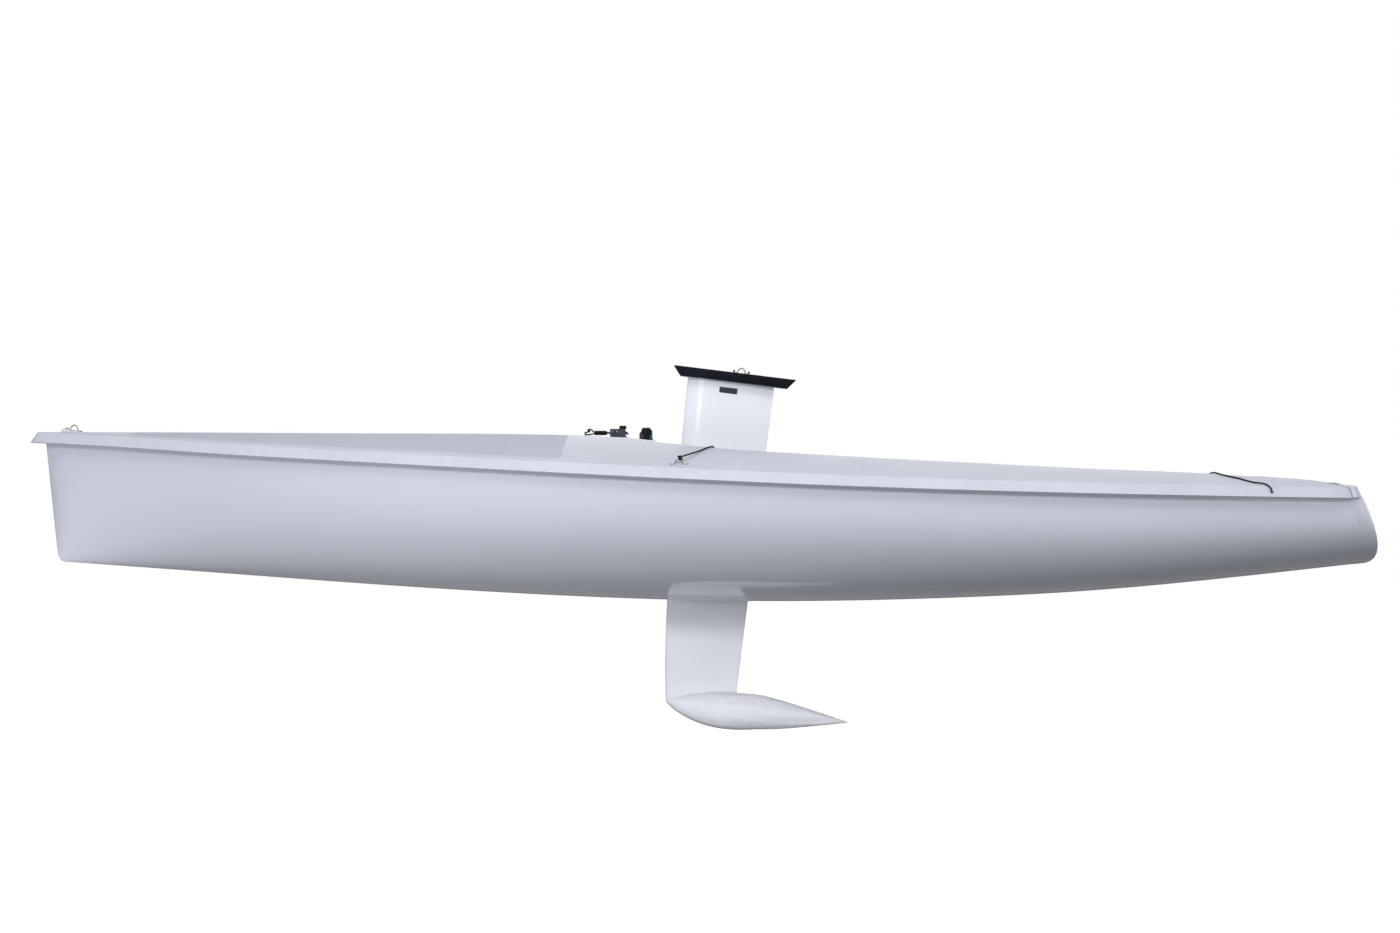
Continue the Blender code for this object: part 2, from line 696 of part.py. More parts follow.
def deck_shell():
    """The deck's upper surface, from its lip round to its lip, made solid downwards."""
    front_x, lip_x = -LIP_FRONT, -LIP_FRONT - LIP_OUT
    stations = [front_x] + ROWS
    rows = [[(x, y, z) for y, z in deck_section(x)] for x in stations]
    front, back = deck_section(front_x), deck_section(DECK_LENGTH)
    low_front, low_back = front[-1][1], back[-1][1] + LIP_BACK_LIFT
    nose = [(lip_x, y * 0.9, low_front) for y, z in front[:-1]]
    nose.append((lip_x + 0.008, front[-1][0] - 0.006, low_front))
    tail_x = DECK_LENGTH + LIP_BACK
    tail = [(tail_x, y, low_back) for y, z in back[:-1]] + [(tail_x - 0.002, back[-1][0], low_back)]
    rows = [nose] + rows + [tail]
    whole = [[(x, -y, z) for x, y, z in row[:0:-1]] + row for row in rows]
    count = len(whole[0])
    verts = [point for row in whole for point in row]
    faces = []
    for r in range(len(whole) - 1):
        for i in range(count - 1):
            a = r * count + i
            faces.append((a, a + count, a + count + 1, a + 1))
    mesh = bpy.data.meshes.new("deck_moulding")
    mesh.from_pydata(verts, [], faces)
    fix_normals(mesh)
    if sum(face.normal.z for face in mesh.polygons) < 0:
        mesh.flip_normals()
    shell = make_object("deck_moulding", mesh, DECK_GEL)
    skin = shell.modifiers.new("skin", "SOLIDIFY")
    skin.thickness = DECK_SKIN
    skin.offset = -1
    skin.use_even_offset = True
    shell.modifiers.new("triangles", "TRIANGULATE")
    smooth(shell, 40)
    return shell


def make_deck():
    deck = deck_shell()
    boolean(deck, pad_boxes("pad_recesses", 0.0, 0.0, PAD_DEPTH))
    boolean(deck, pad_boxes("deck_pads", PAD_LEDGE, -PAD_DEPTH, 0.0), "UNION")
    bm = bmesh.new()
    middle = (TRUNK_FRONT + TRUNK_BACK) / 2
    length = TRUNK_BACK - TRUNK_FRONT + 2 * (TRUNK_WALL + GAP)
    width = 2 * (TRUNK_HALF_WIDTH + TRUNK_WALL + GAP)
    centre = (FLOOR_HEIGHT - KEEL_Z) / math.cos(KEEL_RAKE)
    box_into(bm, (length, width, 0.2), local(middle, 0, centre))
    boolean(deck, finish(bm, "trunk_opening", None, TRUNK, CUTTERS))


def chain_eye_place(side):
    out = lip_half_breadth(CHAIN_EYE_X) - CHAIN_EYE_IN
    return at(CHAIN_EYE_X, side * out, CHAIN_PAD_Z)


def deck_pads():
    """Flat seats moulded into the deck: place of the top's middle, length and width."""
    margin = 2 * PAD_MARGIN
    pads = [(at(BOW_EYE_X, 0, BOW_EYE_Z, BOW_EYE_TILT), EYE_BASE_LENGTH + margin, EYE_BASE_WIDTH + margin)]
    chain_width = EYE_BASE_WIDTH + 2 * PAD_SIDE_MARGIN
    pads += [(chain_eye_place(side), EYE_BASE_LENGTH + margin, chain_width) for side in (-1, 1)]
    pads.append((at(MAST_X, 0, MAST_PAD_Z), STEP_LENGTH + margin, STEP_WIDTH + margin))
    pads.append((at(CLEAT_X, 0, CLEAT_PAD_Z), CLEAT_LENGTH + margin, CLEAT_WIDTH + margin))
    pads.append((at(SMALL_EYE_X, 0, SMALL_EYE_PAD_Z), SMALL_EYE_LENGTH + margin, SMALL_EYE_WIDTH + margin))
    return pads


def pad_boxes(name, grow, low, high):
    """One block for each deck pad, grown sideways, between two heights above the pads' tops."""
    bm = bmesh.new()
    for place, length, width in deck_pads():
        size = (length + 2 * grow, width + 2 * grow, high - low)
        box_into(bm, size, place @ local(0, 0, (low + high) / 2))
    return finish(bm, name, None, SHIP, CUTTERS)


def make_bulkhead(name, x):
    rings = []
    for place in (x - BULKHEAD / 2, x + BULKHEAD / 2):
        rim = under_deck(place, lip_half_breadth(place) - overhang(place), DECK_SKIN)
        half = half_section(place, SHELL + BOND_GAP, SHELL + BOND_GAP, rim)[:-1]
        edge = lip_half_breadth(place) - overhang(place) - SHELL - BOND_GAP
        ceiling = offset_section(deck_section(place), DECK_SKIN + BOND_GAP)
        half.append((edge, under_deck(place, edge, DECK_SKIN + BOND_GAP)))
        half += [(p.x, p.y) for p in reversed(ceiling) if p.x < edge - 0.004]
        half[-1] = (0.0, half[-1][1])
        rings.append(close_ring(half, place))
    return loft(name, rings, LAMINATE)


def make_structure():
    make_bulkhead("bow_bulkhead", BOW_BULKHEAD_SHARE * COCKPIT_FRONT)
    main_bulkhead = make_bulkhead("main_bulkhead", MAIN_BULKHEAD_SHARE * COCKPIT_FRONT)
    boolean(main_bulkhead, bpy.data.objects["pad_clearance"])
    aft = COCKPIT_START + AFT_BULKHEAD_SHARE * (COCKPIT_END - COCKPIT_START)
    make_bulkhead("aft_bulkhead", aft)
    front = MAIN_BULKHEAD_SHARE * COCKPIT_FRONT + BULKHEAD / 2 + GAP
    back = aft - BULKHEAD / 2 - GAP
    top = FLOOR_HEIGHT - DECK_SKIN - BOND_GAP
    for side, label in ((-1, "port"), (1, "starboard")):
        bm = bmesh.new()
        front_top = COCKPIT_START + 0.03
        outline = [(front, -0.05), (back, -0.05), (back, top), (front_top, top), (front, top - 0.06)]
        turn = Matrix.Translation((0, side * STRINGER_OUT, 0)) @ Matrix.Rotation(math.pi / 2, 4, "X")
        prism_into(bm, outline, -STRINGER / 2, STRINGER / 2, turn)
        stringer = finish(bm, "floor_stringer_" + label, LAMINATE)
        boolean(stringer, bpy.data.objects["fit_inside_hull"], "INTERSECT")
        make_drain(label, side)


def make_drain(label, side):
    height = FLOOR_HEIGHT + DRAIN_ABOVE_FLOOR
    front = COCKPIT_AFT - COCKPIT_WALL_RUN - DRAIN_PROUD
    back = DECK_LENGTH + math.tan(TRANSOM_RAKE) * (TRANSOM_TOP - height + DRAIN_RADIUS) + DRAIN_PROUD
    lie = Matrix.Translation((0, side * DRAIN_OUT, height)) @ Matrix.Rotation(math.pi / 2, 4, "Y")
    bm = bmesh.new()
    turned_into(bm, [(DRAIN_RADIUS, back), (DRAIN_RADIUS, front)], lie, 16)
    pipe = finish(bm, "drain_pipe_" + label, GUIDE_PLASTIC)
    bm = bmesh.new()
    bore = DRAIN_RADIUS - DRAIN_WALL
    turned_into(bm, [(bore, back + 0.01), (bore, front - 0.01)], lie, 16)
    boolean(pipe, finish(bm, "drain_bore_" + label, None, SHIP, CUTTERS))
    walls = [("deck_moulding", COCKPIT_AFT + 0.06, front - 0.05)]
    walls.append(("hull_shell", back + 0.05, COCKPIT_AFT + 0.1))
    for name, top, bottom in walls:
        bm = bmesh.new()
        turned_into(bm, [(DRAIN_RADIUS + BOND_GAP, top), (DRAIN_RADIUS + BOND_GAP, bottom)], lie, 16)
        boolean(bpy.data.objects[name], finish(bm, "drain_cut_" + name + label, None, SHIP, CUTTERS))


def nose_at(depth):
    depths = [d for d, c in FIN_NOSES]
    noses = [c for d, c in FIN_NOSES]
    return float(np.interp(depth, depths, noses))


def foil_half(share):
    """Half thickness of a symmetric foil, as a share of its chord, closed at the tail."""
    curve = 0.2969 * math.sqrt(share) - 0.1260 * share - 0.3516 * share ** 2 + 0.2843 * share ** 3
    return 5 * FIN_THICKNESS * (curve - 0.1036 * share ** 4) + 0.003 * share


def fin_ring(depth):
    nose, chord = nose_at(depth), FIN_TAIL - nose_at(depth)
    shares = [(1 - math.cos(math.pi * i / FIN_SIDE_POINTS)) / 2 for i in range(FIN_SIDE_POINTS + 1)]
    port = [(nose + chord * s, -chord * foil_half(s), -depth) for s in shares]
    starboard = [(nose + chord * s, chord * foil_half(s), -depth) for s in reversed(shares[1:])]
    return port + starboard


def bulb_ring(share, extra, segments=20):
    radius = BULB_RADIUS * 1.02 * math.sin(math.pi * share ** 0.75) ** 0.85 * (1 - 0.35 * share ** 3)
    droop = BULB_DROOP * math.sin(math.pi * min(1.0, share / 0.5))
    middle, x = -BULB_DEPTH - droop, BULB_NOSE + share * BULB_LENGTH
    turn = [2 * math.pi * i / segments for i in range(segments)]
    reach = max(radius, 0.002) + extra
    return [(x, reach * math.cos(a), middle + reach * math.sin(a)) for a in turn]


def make_keel():
    depths = [GAP] + [d for d, c in FIN_NOSES[1:]]
    fin = loft("keel_fin", [fin_ring(d) for d in depths], KEEL_PAINT, KEEL)
    smooth(fin, 40)
    bulb = loft("keel_bulb", [bulb_ring(s, 0.0) for s in BULB_SHARES], KEEL_PAINT, KEEL)
    smooth(bulb, 40)
    boolean(fin, loft("bulb_seat", [bulb_ring(s, GAP) for s in BULB_SHARES], None, KEEL, CUTTERS))
    half = HEAD_BOTTOM_LENGTH / 2, HEAD_BOTTOM_WIDTH / 2
    wide = HEAD_TOP_LENGTH / 2, HEAD_TOP_WIDTH / 2
    corners = ((-1, -1), (1, -1), (1, 1), (-1, 1))
    rings = [[(a * half[0], b * half[1], 0.0) for a, b in corners]]
    rings.append([(a * wide[0], b * wide[1], HEAD_THICKNESS) for a, b in corners])
    plate = loft("keel_head_plate", rings, HEAD_COAT, KEEL)
    bevel(plate, 0.003, 2, 30)
    make_head_bolts()
    make_bulb_bolts()
    make_data_plate()


def make_bolt(name, place, radius, length, targets):
    """A socket bolt of the keel with its head sunk into the first of the solids it goes through."""
    head, rise = radius * 1.6, radius * 2
    profile = [(head * 0.5, rise * 0.5), (head * 0.5, rise), (head, rise), (head, 0.0)]
    bm = bmesh.new()
    turned_into(bm, profile + [(radius, 0.0), (radius, -length)], place, FASTENER_SIDES)
    finish(bm, name, STAINLESS, KEEL)
    wide, narrow = head + GAP, radius + GAP
    drill(targets, [(wide, rise * 6), (wide, -GAP), (narrow, -GAP), (narrow, -length - 0.002)], place, KEEL)


def make_head_bolts():
    for number, x in enumerate(HEAD_BOLTS, 1):
        place = local(x, 0, HEAD_THICKNESS - HEAD_BOLT_RADIUS * 2.2)
        targets = ["keel_head_plate", "keel_fin"]
        make_bolt("head_bolt_%d" % number, place, HEAD_BOLT_RADIUS, HEAD_BOLT_LENGTH, targets)


def make_bulb_bolts():
    seat = -BULB_DEPTH - BULB_RADIUS + 0.030
    for number, x in enumerate(BULB_BOLTS, 1):
        place = local(x, 0, seat) @ Matrix.Rotation(math.pi, 4, "X")
        targets = ["keel_bulb", "keel_fin"]
        make_bolt("bulb_bolt_%d" % number, place, BULB_BOLT_RADIUS, BULB_BOLT_REACH, targets)


def make_data_plate():
    """A thin bare plate that follows the port side of the fin."""
    rings = []
    for i in range(6):
        x = PLATE_FRONT + (PLATE_BACK - PLATE_FRONT) * i / 5
        ring = []
        for depth, lift in ((PLATE_TOP, 0), (PLATE_TOP, 1), (PLATE_BOTTOM, 1), (PLATE_BOTTOM, 0)):
            chord = FIN_TAIL - nose_at(depth)
            side = chord * foil_half((x - nose_at(depth)) / chord)
            ring.append((x, -(side + GAP + lift * PLATE_THICKNESS), -depth))
        rings.append(ring)
    loft("data_plate", rings, PLATE_FOIL, KEEL)


def make_trunk():
    top = -KEEL_DOWN - GAP
    middle = (TRUNK_FRONT + TRUNK_BACK) / 2
    inner = (TRUNK_BACK - TRUNK_FRONT, 2 * TRUNK_HALF_WIDTH)
    bm = bmesh.new()
    depth = KEEL_Z - KEEL_DOWN + 0.1
    outer = (inner[0] + 2 * TRUNK_WALL, inner[1] + 2 * TRUNK_WALL, depth)
    box_into(bm, outer, local(middle, 0, top - 0.004 - depth / 2))
    case = finish(bm, "keel_trunk", GELCOAT, TRUNK)
    bm = bmesh.new()
    flange = (TRUNK_FLANGE_LENGTH, TRUNK_FLANGE_WIDTH, TRUNK_FLANGE)
    box_into(bm, flange, local(0, 0, top - TRUNK_FLANGE / 2))
    boolean(case, finish(bm, "trunk_flange", None, TRUNK, CUTTERS), "UNION")
    bm = bmesh.new()
    box_into(bm, (*inner, 3 * depth), local(middle, 0, top))
    boolean(case, finish(bm, "trunk_bore", None, TRUNK, CUTTERS))
    boolean(case, bpy.data.objects["fit_inside_hull"], "INTERSECT")
    make_guide("upper_keel_guide", UPPER_GUIDE, nose_at(UPPER_GUIDE - KEEL_DOWN))
    make_guide("lower_keel_guide", LOWER_GUIDE, nose_at(LOWER_GUIDE - KEEL_DOWN))


def make_guide(name, depth, nose):
    """A collar in the trunk with a straight-sided opening that the fin slides through."""
    thick = (FIN_TAIL - FIN_NOSES[0][1]) * FIN_THICKNESS / 2 + SLIDE_GAP
    z = -depth - GUIDE_HEIGHT / 2
    length, middle = TRUNK_BACK - TRUNK_FRONT - 2 * GAP, (TRUNK_BACK + TRUNK_FRONT) / 2
    bm = bmesh.new()
    box_into(bm, (length, 2 * (TRUNK_HALF_WIDTH - GAP), GUIDE_HEIGHT), local(middle, 0, z))
    guide = finish(bm, name, GUIDE_PLASTIC, TRUNK)
    near, far = nose - SLIDE_GAP, FIN_TAIL + SLIDE_GAP
    bm = bmesh.new()
    box_into(bm, (far - near, 2 * thick, 2 * GUIDE_HEIGHT), local((near + far) / 2, 0, z))
    boolean(guide, finish(bm, name + "_bore", None, TRUNK, CUTTERS))


def rounded_box(length, width, radius, steps=3):
    """Outline of a rectangle with round corners, anticlockwise."""
    out = []
    for cx, cy, start in ((1, -1, -90), (1, 1, 0), (-1, 1, 90), (-1, -1, 180)):
        for i in range(steps + 1):
            a = math.radians(start + 90 * i / steps)
            x = cx * (length / 2 - radius) + radius * math.cos(a)
            out.append((x, cy * (width / 2 - radius) + radius * math.sin(a)))
    return out


def make_eye(name, place, parent=SHIP):
    """A wire bail welded on a small base plate, lying along X."""
    bm = bmesh.new()
    prism_into(bm, rounded_box(EYE_BASE_LENGTH, EYE_BASE_WIDTH, 0.0085), GAP, EYE_BASE, place)
    eye = finish(bm, name, STAINLESS, parent)
    radius = EYE_SPAN / 2
    rise = EYE_HEIGHT - radius - EYE_WIRE
    arch = [(-radius, 0, EYE_BASE * 0.5), (-radius, 0, rise)]
    for a in np.linspace(0, math.pi, 9)[1:-1]:
        arch.append((-radius * math.cos(a), 0, rise + radius * math.sin(a)))
    arch += [(radius, 0, rise), (radius, 0, EYE_BASE * 0.5)]
    wire = wire_mesh([place @ Vector(p) for p in arch], EYE_WIRE, 2)
    bail = make_object(name + "_bail", wire, None, parent, CUTTERS)
    boolean(eye, bail, "UNION")


def eye_screws(name, place, targets):
    """Two screws, fore and aft, through an eye's base, the deck and the backing plate."""
    length = EYE_BASE + PAD_DEPTH + BACKING + 0.003
    for side, end in ((-1, "fore"), (1, "aft")):
        spot = place @ local(side * EYE_SCREWS / 2, 0, EYE_BASE)
        make_screw(name + "_" + end, spot, length)
        hole(targets, SCREW_RADIUS + GAP, 0.01, -length - 0.004, spot)


def make_backing(name, place, length, width):
    bm = bmesh.new()
    outline = rounded_box(length, width, width * 0.3, 2)
    prism_into(bm, outline, -PAD_DEPTH - GAP - BACKING, -PAD_DEPTH - GAP, place)
    finish(bm, name, STAINLESS)


def make_pad_eyes():
    bow = at(BOW_EYE_X, 0, BOW_EYE_Z, BOW_EYE_TILT)
    make_eye("bow_pad_eye", bow)
    make_backing("bow_backing_plate", bow, EYE_BASE_LENGTH, EYE_BASE_WIDTH)
    eye_screws("bow_eye_screw", bow, ["bow_pad_eye", "deck_moulding", "bow_backing_plate"])
    for side, label in ((-1, "port"), (1, "starboard")):
        place = chain_eye_place(side)
        make_eye("chain_eye_" + label, place)
        make_backing("chain_backing_" + label, place, EYE_BASE_LENGTH, CHAIN_BACKING_WIDTH)
        targets = ["chain_eye_" + label, "deck_moulding", "chain_backing_" + label]
        eye_screws("chain_screw_" + label, place, targets)
    make_eye("lifting_eye", local(EYE_ON_HEAD, 0, HEAD_THICKNESS), KEEL)


def make_mast_step():
    place = at(MAST_X, 0, MAST_PAD_Z)
    bm = bmesh.new()
    prism_into(bm, rounded_box(STEP_LENGTH, STEP_WIDTH, 0.006, 2), GAP, STEP_BASE, place)
    base = finish(bm, "mast_step_base", BLACK_NYLON)
    half = STEP_LENGTH / 2 - 0.002
    front_low, front_high = (-half, STEP_HEIGHT - STEP_CHAMFER * 1.2), (-half + STEP_CHAMFER, STEP_HEIGHT)
    outline = [(-half, GAP + 0.002), (half, GAP + 0.002), (half - 0.002, STEP_HEIGHT - 0.006)]
    outline += [(half - 0.008, STEP_HEIGHT), front_high, front_low]
    cheek_in = TONGUE_HALF_WIDTH + SLIDE_GAP
    for side in (-1, 1):
        bm = bmesh.new()
        middle = local(0, side * (cheek_in + STEP_CHEEK / 2), 0)
        turn = place @ middle @ Matrix.Rotation(math.pi / 2, 4, "X")
        prism_into(bm, outline, -STEP_CHEEK / 2, STEP_CHEEK / 2, turn)
        boolean(base, finish(bm, "step_cheek_%d" % side, None, SHIP, CUTTERS), "UNION")
    make_tongue()
    bm = bmesh.new()
    cross = place @ local(0, 0, TONGUE_PIVOT) @ Matrix.Rotation(math.pi / 2, 4, "X")
    reach = cheek_in + STEP_CHEEK
    ends = HINGE_PIN_RADIUS * 1.6
    profile = [(ends, reach + 0.0025), (ends, reach + GAP), (HINGE_PIN_RADIUS, reach + GAP)]
    profile += [(HINGE_PIN_RADIUS, -reach - GAP), (ends, -reach - GAP), (ends, -reach - 0.0025)]
    turned_into(bm, profile, cross, 14)
    finish(bm, "mast_hinge_pin", STAINLESS)
    hole(["mast_step_base", "mast_heel_tongue"], HINGE_PIN_RADIUS + GAP, reach + 0.01, -reach - 0.01, cross)


def make_tongue():
    """The pivoting heel that the mast stands on: round below its pin and flat on top."""
    frame = empty("mast_hinge_frame", (MAST_X, 0, MAST_PAD_Z + TONGUE_PIVOT), parent=SHIP)
    top = TONGUE_HEIGHT - TONGUE_PIVOT
    arc = [math.radians(a) for a in range(180, 361, 20)]
    outline = [(TONGUE_RADIUS * math.cos(a), TONGUE_RADIUS * math.sin(a)) for a in arc]
    outline += [(TONGUE_RADIUS, top - 0.003), (TONGUE_RADIUS - 0.003, top)]
    outline += [(-TONGUE_RADIUS + 0.006, top), (-TONGUE_RADIUS, top - 0.006)]
    bm = bmesh.new()
    prism_into(bm, outline, -TONGUE_HALF_WIDTH, TONGUE_HALF_WIDTH, Matrix.Rotation(math.pi / 2, 4, "X"))
    finish(bm, "mast_heel_tongue", ALLOY, frame)


def jaw_outline(side):
    """A cam with teeth that come nearer to the line as it closes, and a round back."""
    toothed, out = math.radians(110), []
    count = 2 * JAW_TEETH
    for i in range(count + 1):
        a = -toothed / 2 + toothed * i / count
        out.append((a, JAW_RADIUS * (1 - side * JAW_SPIRAL * a) + (JAW_TOOTH if i % 2 else 0.0)))
    for i in range(1, 8):
        a = toothed / 2 + (2 * math.pi - toothed) * i / 8
        out.append((a, JAW_RADIUS * 0.82))
    inward = -side * math.pi / 2
    return [(r * math.cos(inward + a), r * math.sin(inward + a)) for a, r in out]


def make_cleat():
    place = at(CLEAT_X, 0, CLEAT_PAD_Z)
    bm = bmesh.new()
    prism_into(bm, rounded_box(CLEAT_LENGTH, CLEAT_WIDTH, 0.008, 2), GAP, CLEAT_BASE, place)
    finish(bm, "cleat_base", ALLOY)
    low = CLEAT_PAD_Z + CLEAT_BASE + GAP
    for side, label in ((-1, "port"), (1, "starboard")):
        pivot = at(JAW_X, side * JAW_PIVOT_OUT, low)
        frame = empty("jaw_frame_" + label, pivot.translation, parent=SHIP)
        bm = bmesh.new()
        prism_into(bm, jaw_outline(side), 0.0, JAW_HEIGHT, local(0, 0, 0))
        finish(bm, "cleat_jaw_" + label, ALLOY, frame)
        head = JAW_PIN_RADIUS * 2
        profile = [(head * 0.6, JAW_HEIGHT + 0.004), (head, JAW_HEIGHT + 0.003), (head, JAW_HEIGHT + GAP)]
        profile += [(JAW_PIN_RADIUS, JAW_HEIGHT + GAP), (JAW_PIN_RADIUS, -0.02)]
        bm = bmesh.new()
        turned_into(bm, profile, pivot, 12)
        finish(bm, "jaw_pin_" + label, STAINLESS)
        targets = ["cleat_jaw_" + label, "cleat_base", "deck_moulding"]
        hole(targets, JAW_PIN_RADIUS + GAP, JAW_HEIGHT + 0.01, -0.022, pivot)
    make_fairlead(low)


def make_fairlead(low):
    """A ring that leads the line into the jaws, standing across the base."""
    height = FAIRLEAD_TOP - low
    outline = [(-0.016, 0.0), (0.016, 0.0), (0.016, height * 0.55), (0.011, height * 0.86), (0.006, height)]
    outline += [(-0.006, height), (-0.011, height * 0.86), (-0.016, height * 0.55)]
    turn = Matrix.Rotation(math.pi / 2, 4, "Z") @ Matrix.Rotation(math.pi / 2, 4, "X")
    bm = bmesh.new()
    length = FAIRLEAD_LENGTH / 2
    prism_into(bm, outline, -length * 0.5, length * 0.5, at(FAIRLEAD_X, 0, low) @ turn)
    lead = finish(bm, "cleat_fairlead", BLACK_NYLON)
    bevel(lead, 0.0015, 1, 50)
    along = at(FAIRLEAD_X, 0, LINE_Z) @ Matrix.Rotation(math.pi / 2, 4, "Y")
    hole(["cleat_fairlead"], FAIRLEAD_HOLE, 0.03, -0.03, along)


def make_line():
    """The control line through the jaws, its grip, its loop and the small eye that holds the loop."""
    start, end = GRIP_BACK + GAP, CLEAT_X + CLEAT_LENGTH / 2 + 0.010
    along = at(0, 0, LINE_Z) @ Matrix.Rotation(math.pi / 2, 4, "Y")
    bm = bmesh.new()
    knot = LINE_RADIUS * 2.3
    profile = [(LINE_RADIUS, end + 0.010), (knot, end + 0.007), (knot, end + 0.002), (LINE_RADIUS, end)]
    turned_into(bm, profile + [(LINE_RADIUS, start)], along, 10)
    finish(bm, "control_line", CORD)
    bm = bmesh.new()
    profile = [(GRIP_RADIUS * 0.5, GRIP_BACK), (GRIP_RADIUS, GRIP_BACK - 0.007)]
    profile += [(GRIP_RADIUS, GRIP_FRONT + 0.003), (GRIP_RADIUS * 0.8, GRIP_FRONT)]
    turned_into(bm, profile, along, 16)
    finish(bm, "line_grip", BLACK_NYLON)
    front = GRIP_FRONT - GAP
    route = [(front, 0, LINE_Z + 0.003), (front - 0.004, 0, LINE_Z + 0.0035), (2.418, 0, 0.7500)]
    route += [(2.408, 0, 0.7560), (2.398, 0, 0.7535), (2.3908, 0, 0.7440), (2.3906, 0, 0.7365)]
    route += [(2.3950, 0, 0.7324), (2.403, 0, 0.7320), (2.413, 0, 0.7325), (2.422, 0, 0.7345)]
    route += [(front - 0.004, 0, LINE_Z - 0.0035), (front, 0, LINE_Z - 0.003)]
    cord("grip_loop", route, LOOP_RADIUS, 0.0075)
    place = at(SMALL_EYE_X, 0, SMALL_EYE_PAD_Z)
    bm = bmesh.new()
    prism_into(bm, rounded_box(SMALL_EYE_LENGTH, SMALL_EYE_WIDTH, 0.004, 2), GAP, 0.002, place)
    eye = finish(bm, "small_deck_eye", STAINLESS)
    arch = [(0, -0.005, 0.001), (0, -0.005, 0.004)]
    for a in np.linspace(0, math.pi, 7)[1:-1]:
        arch.append((0, -0.005 * math.cos(a), 0.004 + 0.0052 * math.sin(a)))
    arch += [(0, 0.005, 0.004), (0, 0.005, 0.001)]
    wire = wire_mesh([place @ Vector(p) for p in arch], 0.0012, 2)
    bail = make_object("small_bail", wire, None, SHIP, CUTTERS)
    boolean(eye, bail, "UNION")


def strap_path():
    low = FLOOR_HEIGHT + GAP
    high = FLOOR_HEIGHT + STRAP_RISE
    flat = STRAP_END
    points = [(STRAP_FRONT, low), (STRAP_FRONT + flat, low)]
    for s in (0.25, 0.5, 0.75, 1.0):
        points.append((STRAP_FRONT + flat + STRAP_RAMP * s, low + (high - low) * smooth_step(s)))
    mirrored = [(STRAP_FRONT + STRAP_BACK - x, z) for x, z in reversed(points)]
    return points + mirrored


def make_straps():
    for side, label in ((-1, "port"), (1, "starboard")):
        y = side * STRAP_OUT
        edges = (y - STRAP_WIDTH / 2, y + STRAP_WIDTH / 2)
        rings = []
        for x, z in strap_path():
            top = z + STRAP_THICKNESS
            rings.append([(x, edges[0], z), (x, edges[1], z), (x, edges[1], top), (x, edges[0], top)])
        loft("hiking_strap_" + label, rings, WEBBING)


def deck_top(x, y):
    """Height of the deck as modelled, straight between its rows and its section points."""
    rows = [-LIP_FRONT] + ROWS
    i = int(np.clip(np.searchsorted(rows, x) - 1, 0, len(rows) - 2))
    share = (x - rows[i]) / (rows[i + 1] - rows[i])
    near, far = deck_section(rows[i]), deck_section(rows[i + 1])
    section = [tuple(a + (b - a) * share for a, b in zip(p, q)) for p, q in zip(near, far)]
    return float(np.interp(y, [p[0] for p in section], [p[1] for p in section]))


def tie_route(end, crest_x, landing_x):
    """From the deck's edge over the coaming, as (x, half-breadth, height) places, down to the strap."""
    lift = TIE_RADIUS + TIE_CLEARANCE
    y = coaming_half_breadth(crest_x) + 0.012
    crest = (crest_x, y, deck_top(crest_x, y) + 1.4 * lift)
    over_x = crest_x + 0.018 * (1 if landing_x > crest_x else -1)
    over_y = coaming_half_breadth(over_x) - 0.016
    over = (over_x, over_y - lift, deck_top(over_x, over_y) + 1.7 * lift)
    strap_top = FLOOR_HEIGHT + STRAP_RISE + STRAP_THICKNESS
    landing = (landing_x, STRAP_OUT, strap_top + TIE_RADIUS + 2 * TIE_CLEARANCE)
    falling = [tuple(a + (b - a) * s for a, b in zip(over, landing)) for s in (0.04, 0.5, 0.96)]
    return end + [crest, over] + falling + [landing]


def make_ties():
    """Cords that hold the straps out: forward to the chain eyes, aft to holes in the deck's band."""
    eye = chain_eye_place(1).translation
    lift = TIE_RADIUS + TIE_CLEARANCE
    start = (eye.x + 0.002, eye.y, eye.z + EYE_HEIGHT + TIE_RADIUS + GAP)
    crest = (FORE_TIE_CREST, coaming_half_breadth(FORE_TIE_CREST) + 0.012)
    lead = [start]
    for share in (0.3, 0.55, 0.72, 0.86, 0.95):
        x, y = (a + (b - a) * share for a, b in zip(start, crest))
        lead.append((x, y, max(deck_top(x, y) + lift, start[2] + 0.046 * share)))
    fore = tie_route(lead, FORE_TIE_CREST, FORE_TIE_LANDING)
    edge = AFT_TIE_HOLE
    crease = lip_half_breadth(edge) - LIP_OUT
    hole_z = sheer_line(edge / DECK_LENGTH) - LIP_DROP * AFT_TIE_DOWN
    hole_y = crease + LIP_OUT * AFT_TIE_DOWN
    band = [(edge, hole_y - 0.022, hole_z), (edge, hole_y + 0.004, hole_z)]
    band.append((edge - 0.002, hole_y + 0.0115, hole_z + 0.006))
    band.append((edge - 0.010, crease + 0.013, hole_z + 0.024))
    for ahead, inward in ((0.022, 0.004), (0.055, 0.05), (0.10, 0.14), (0.155, 0.24)):
        x = edge - ahead
        y = lip_half_breadth(x) - LIP_OUT - inward
        band.append((x, y, deck_top(x, y) + lift + (0.0015 if inward < 0.01 else 0.0)))
    aft = tie_route(band, AFT_TIE_CREST, AFT_TIE_LANDING)
    for side, label in ((-1, "port"), (1, "starboard")):
        cord("fore_tie_cord_" + label, [(x, side * y, z) for x, y, z in fore], TIE_RADIUS, TIE_SPACING)
        cord("aft_tie_cord_" + label, [(x, side * y, z) for x, y, z in aft], TIE_RADIUS, TIE_SPACING)
        across = at(edge, side * hole_y, hole_z) @ Matrix.Rotation(math.pi / 2, 4, "X")
        hole(["deck_moulding"], TIE_RADIUS * 1.25, 0.03, -0.03, across)


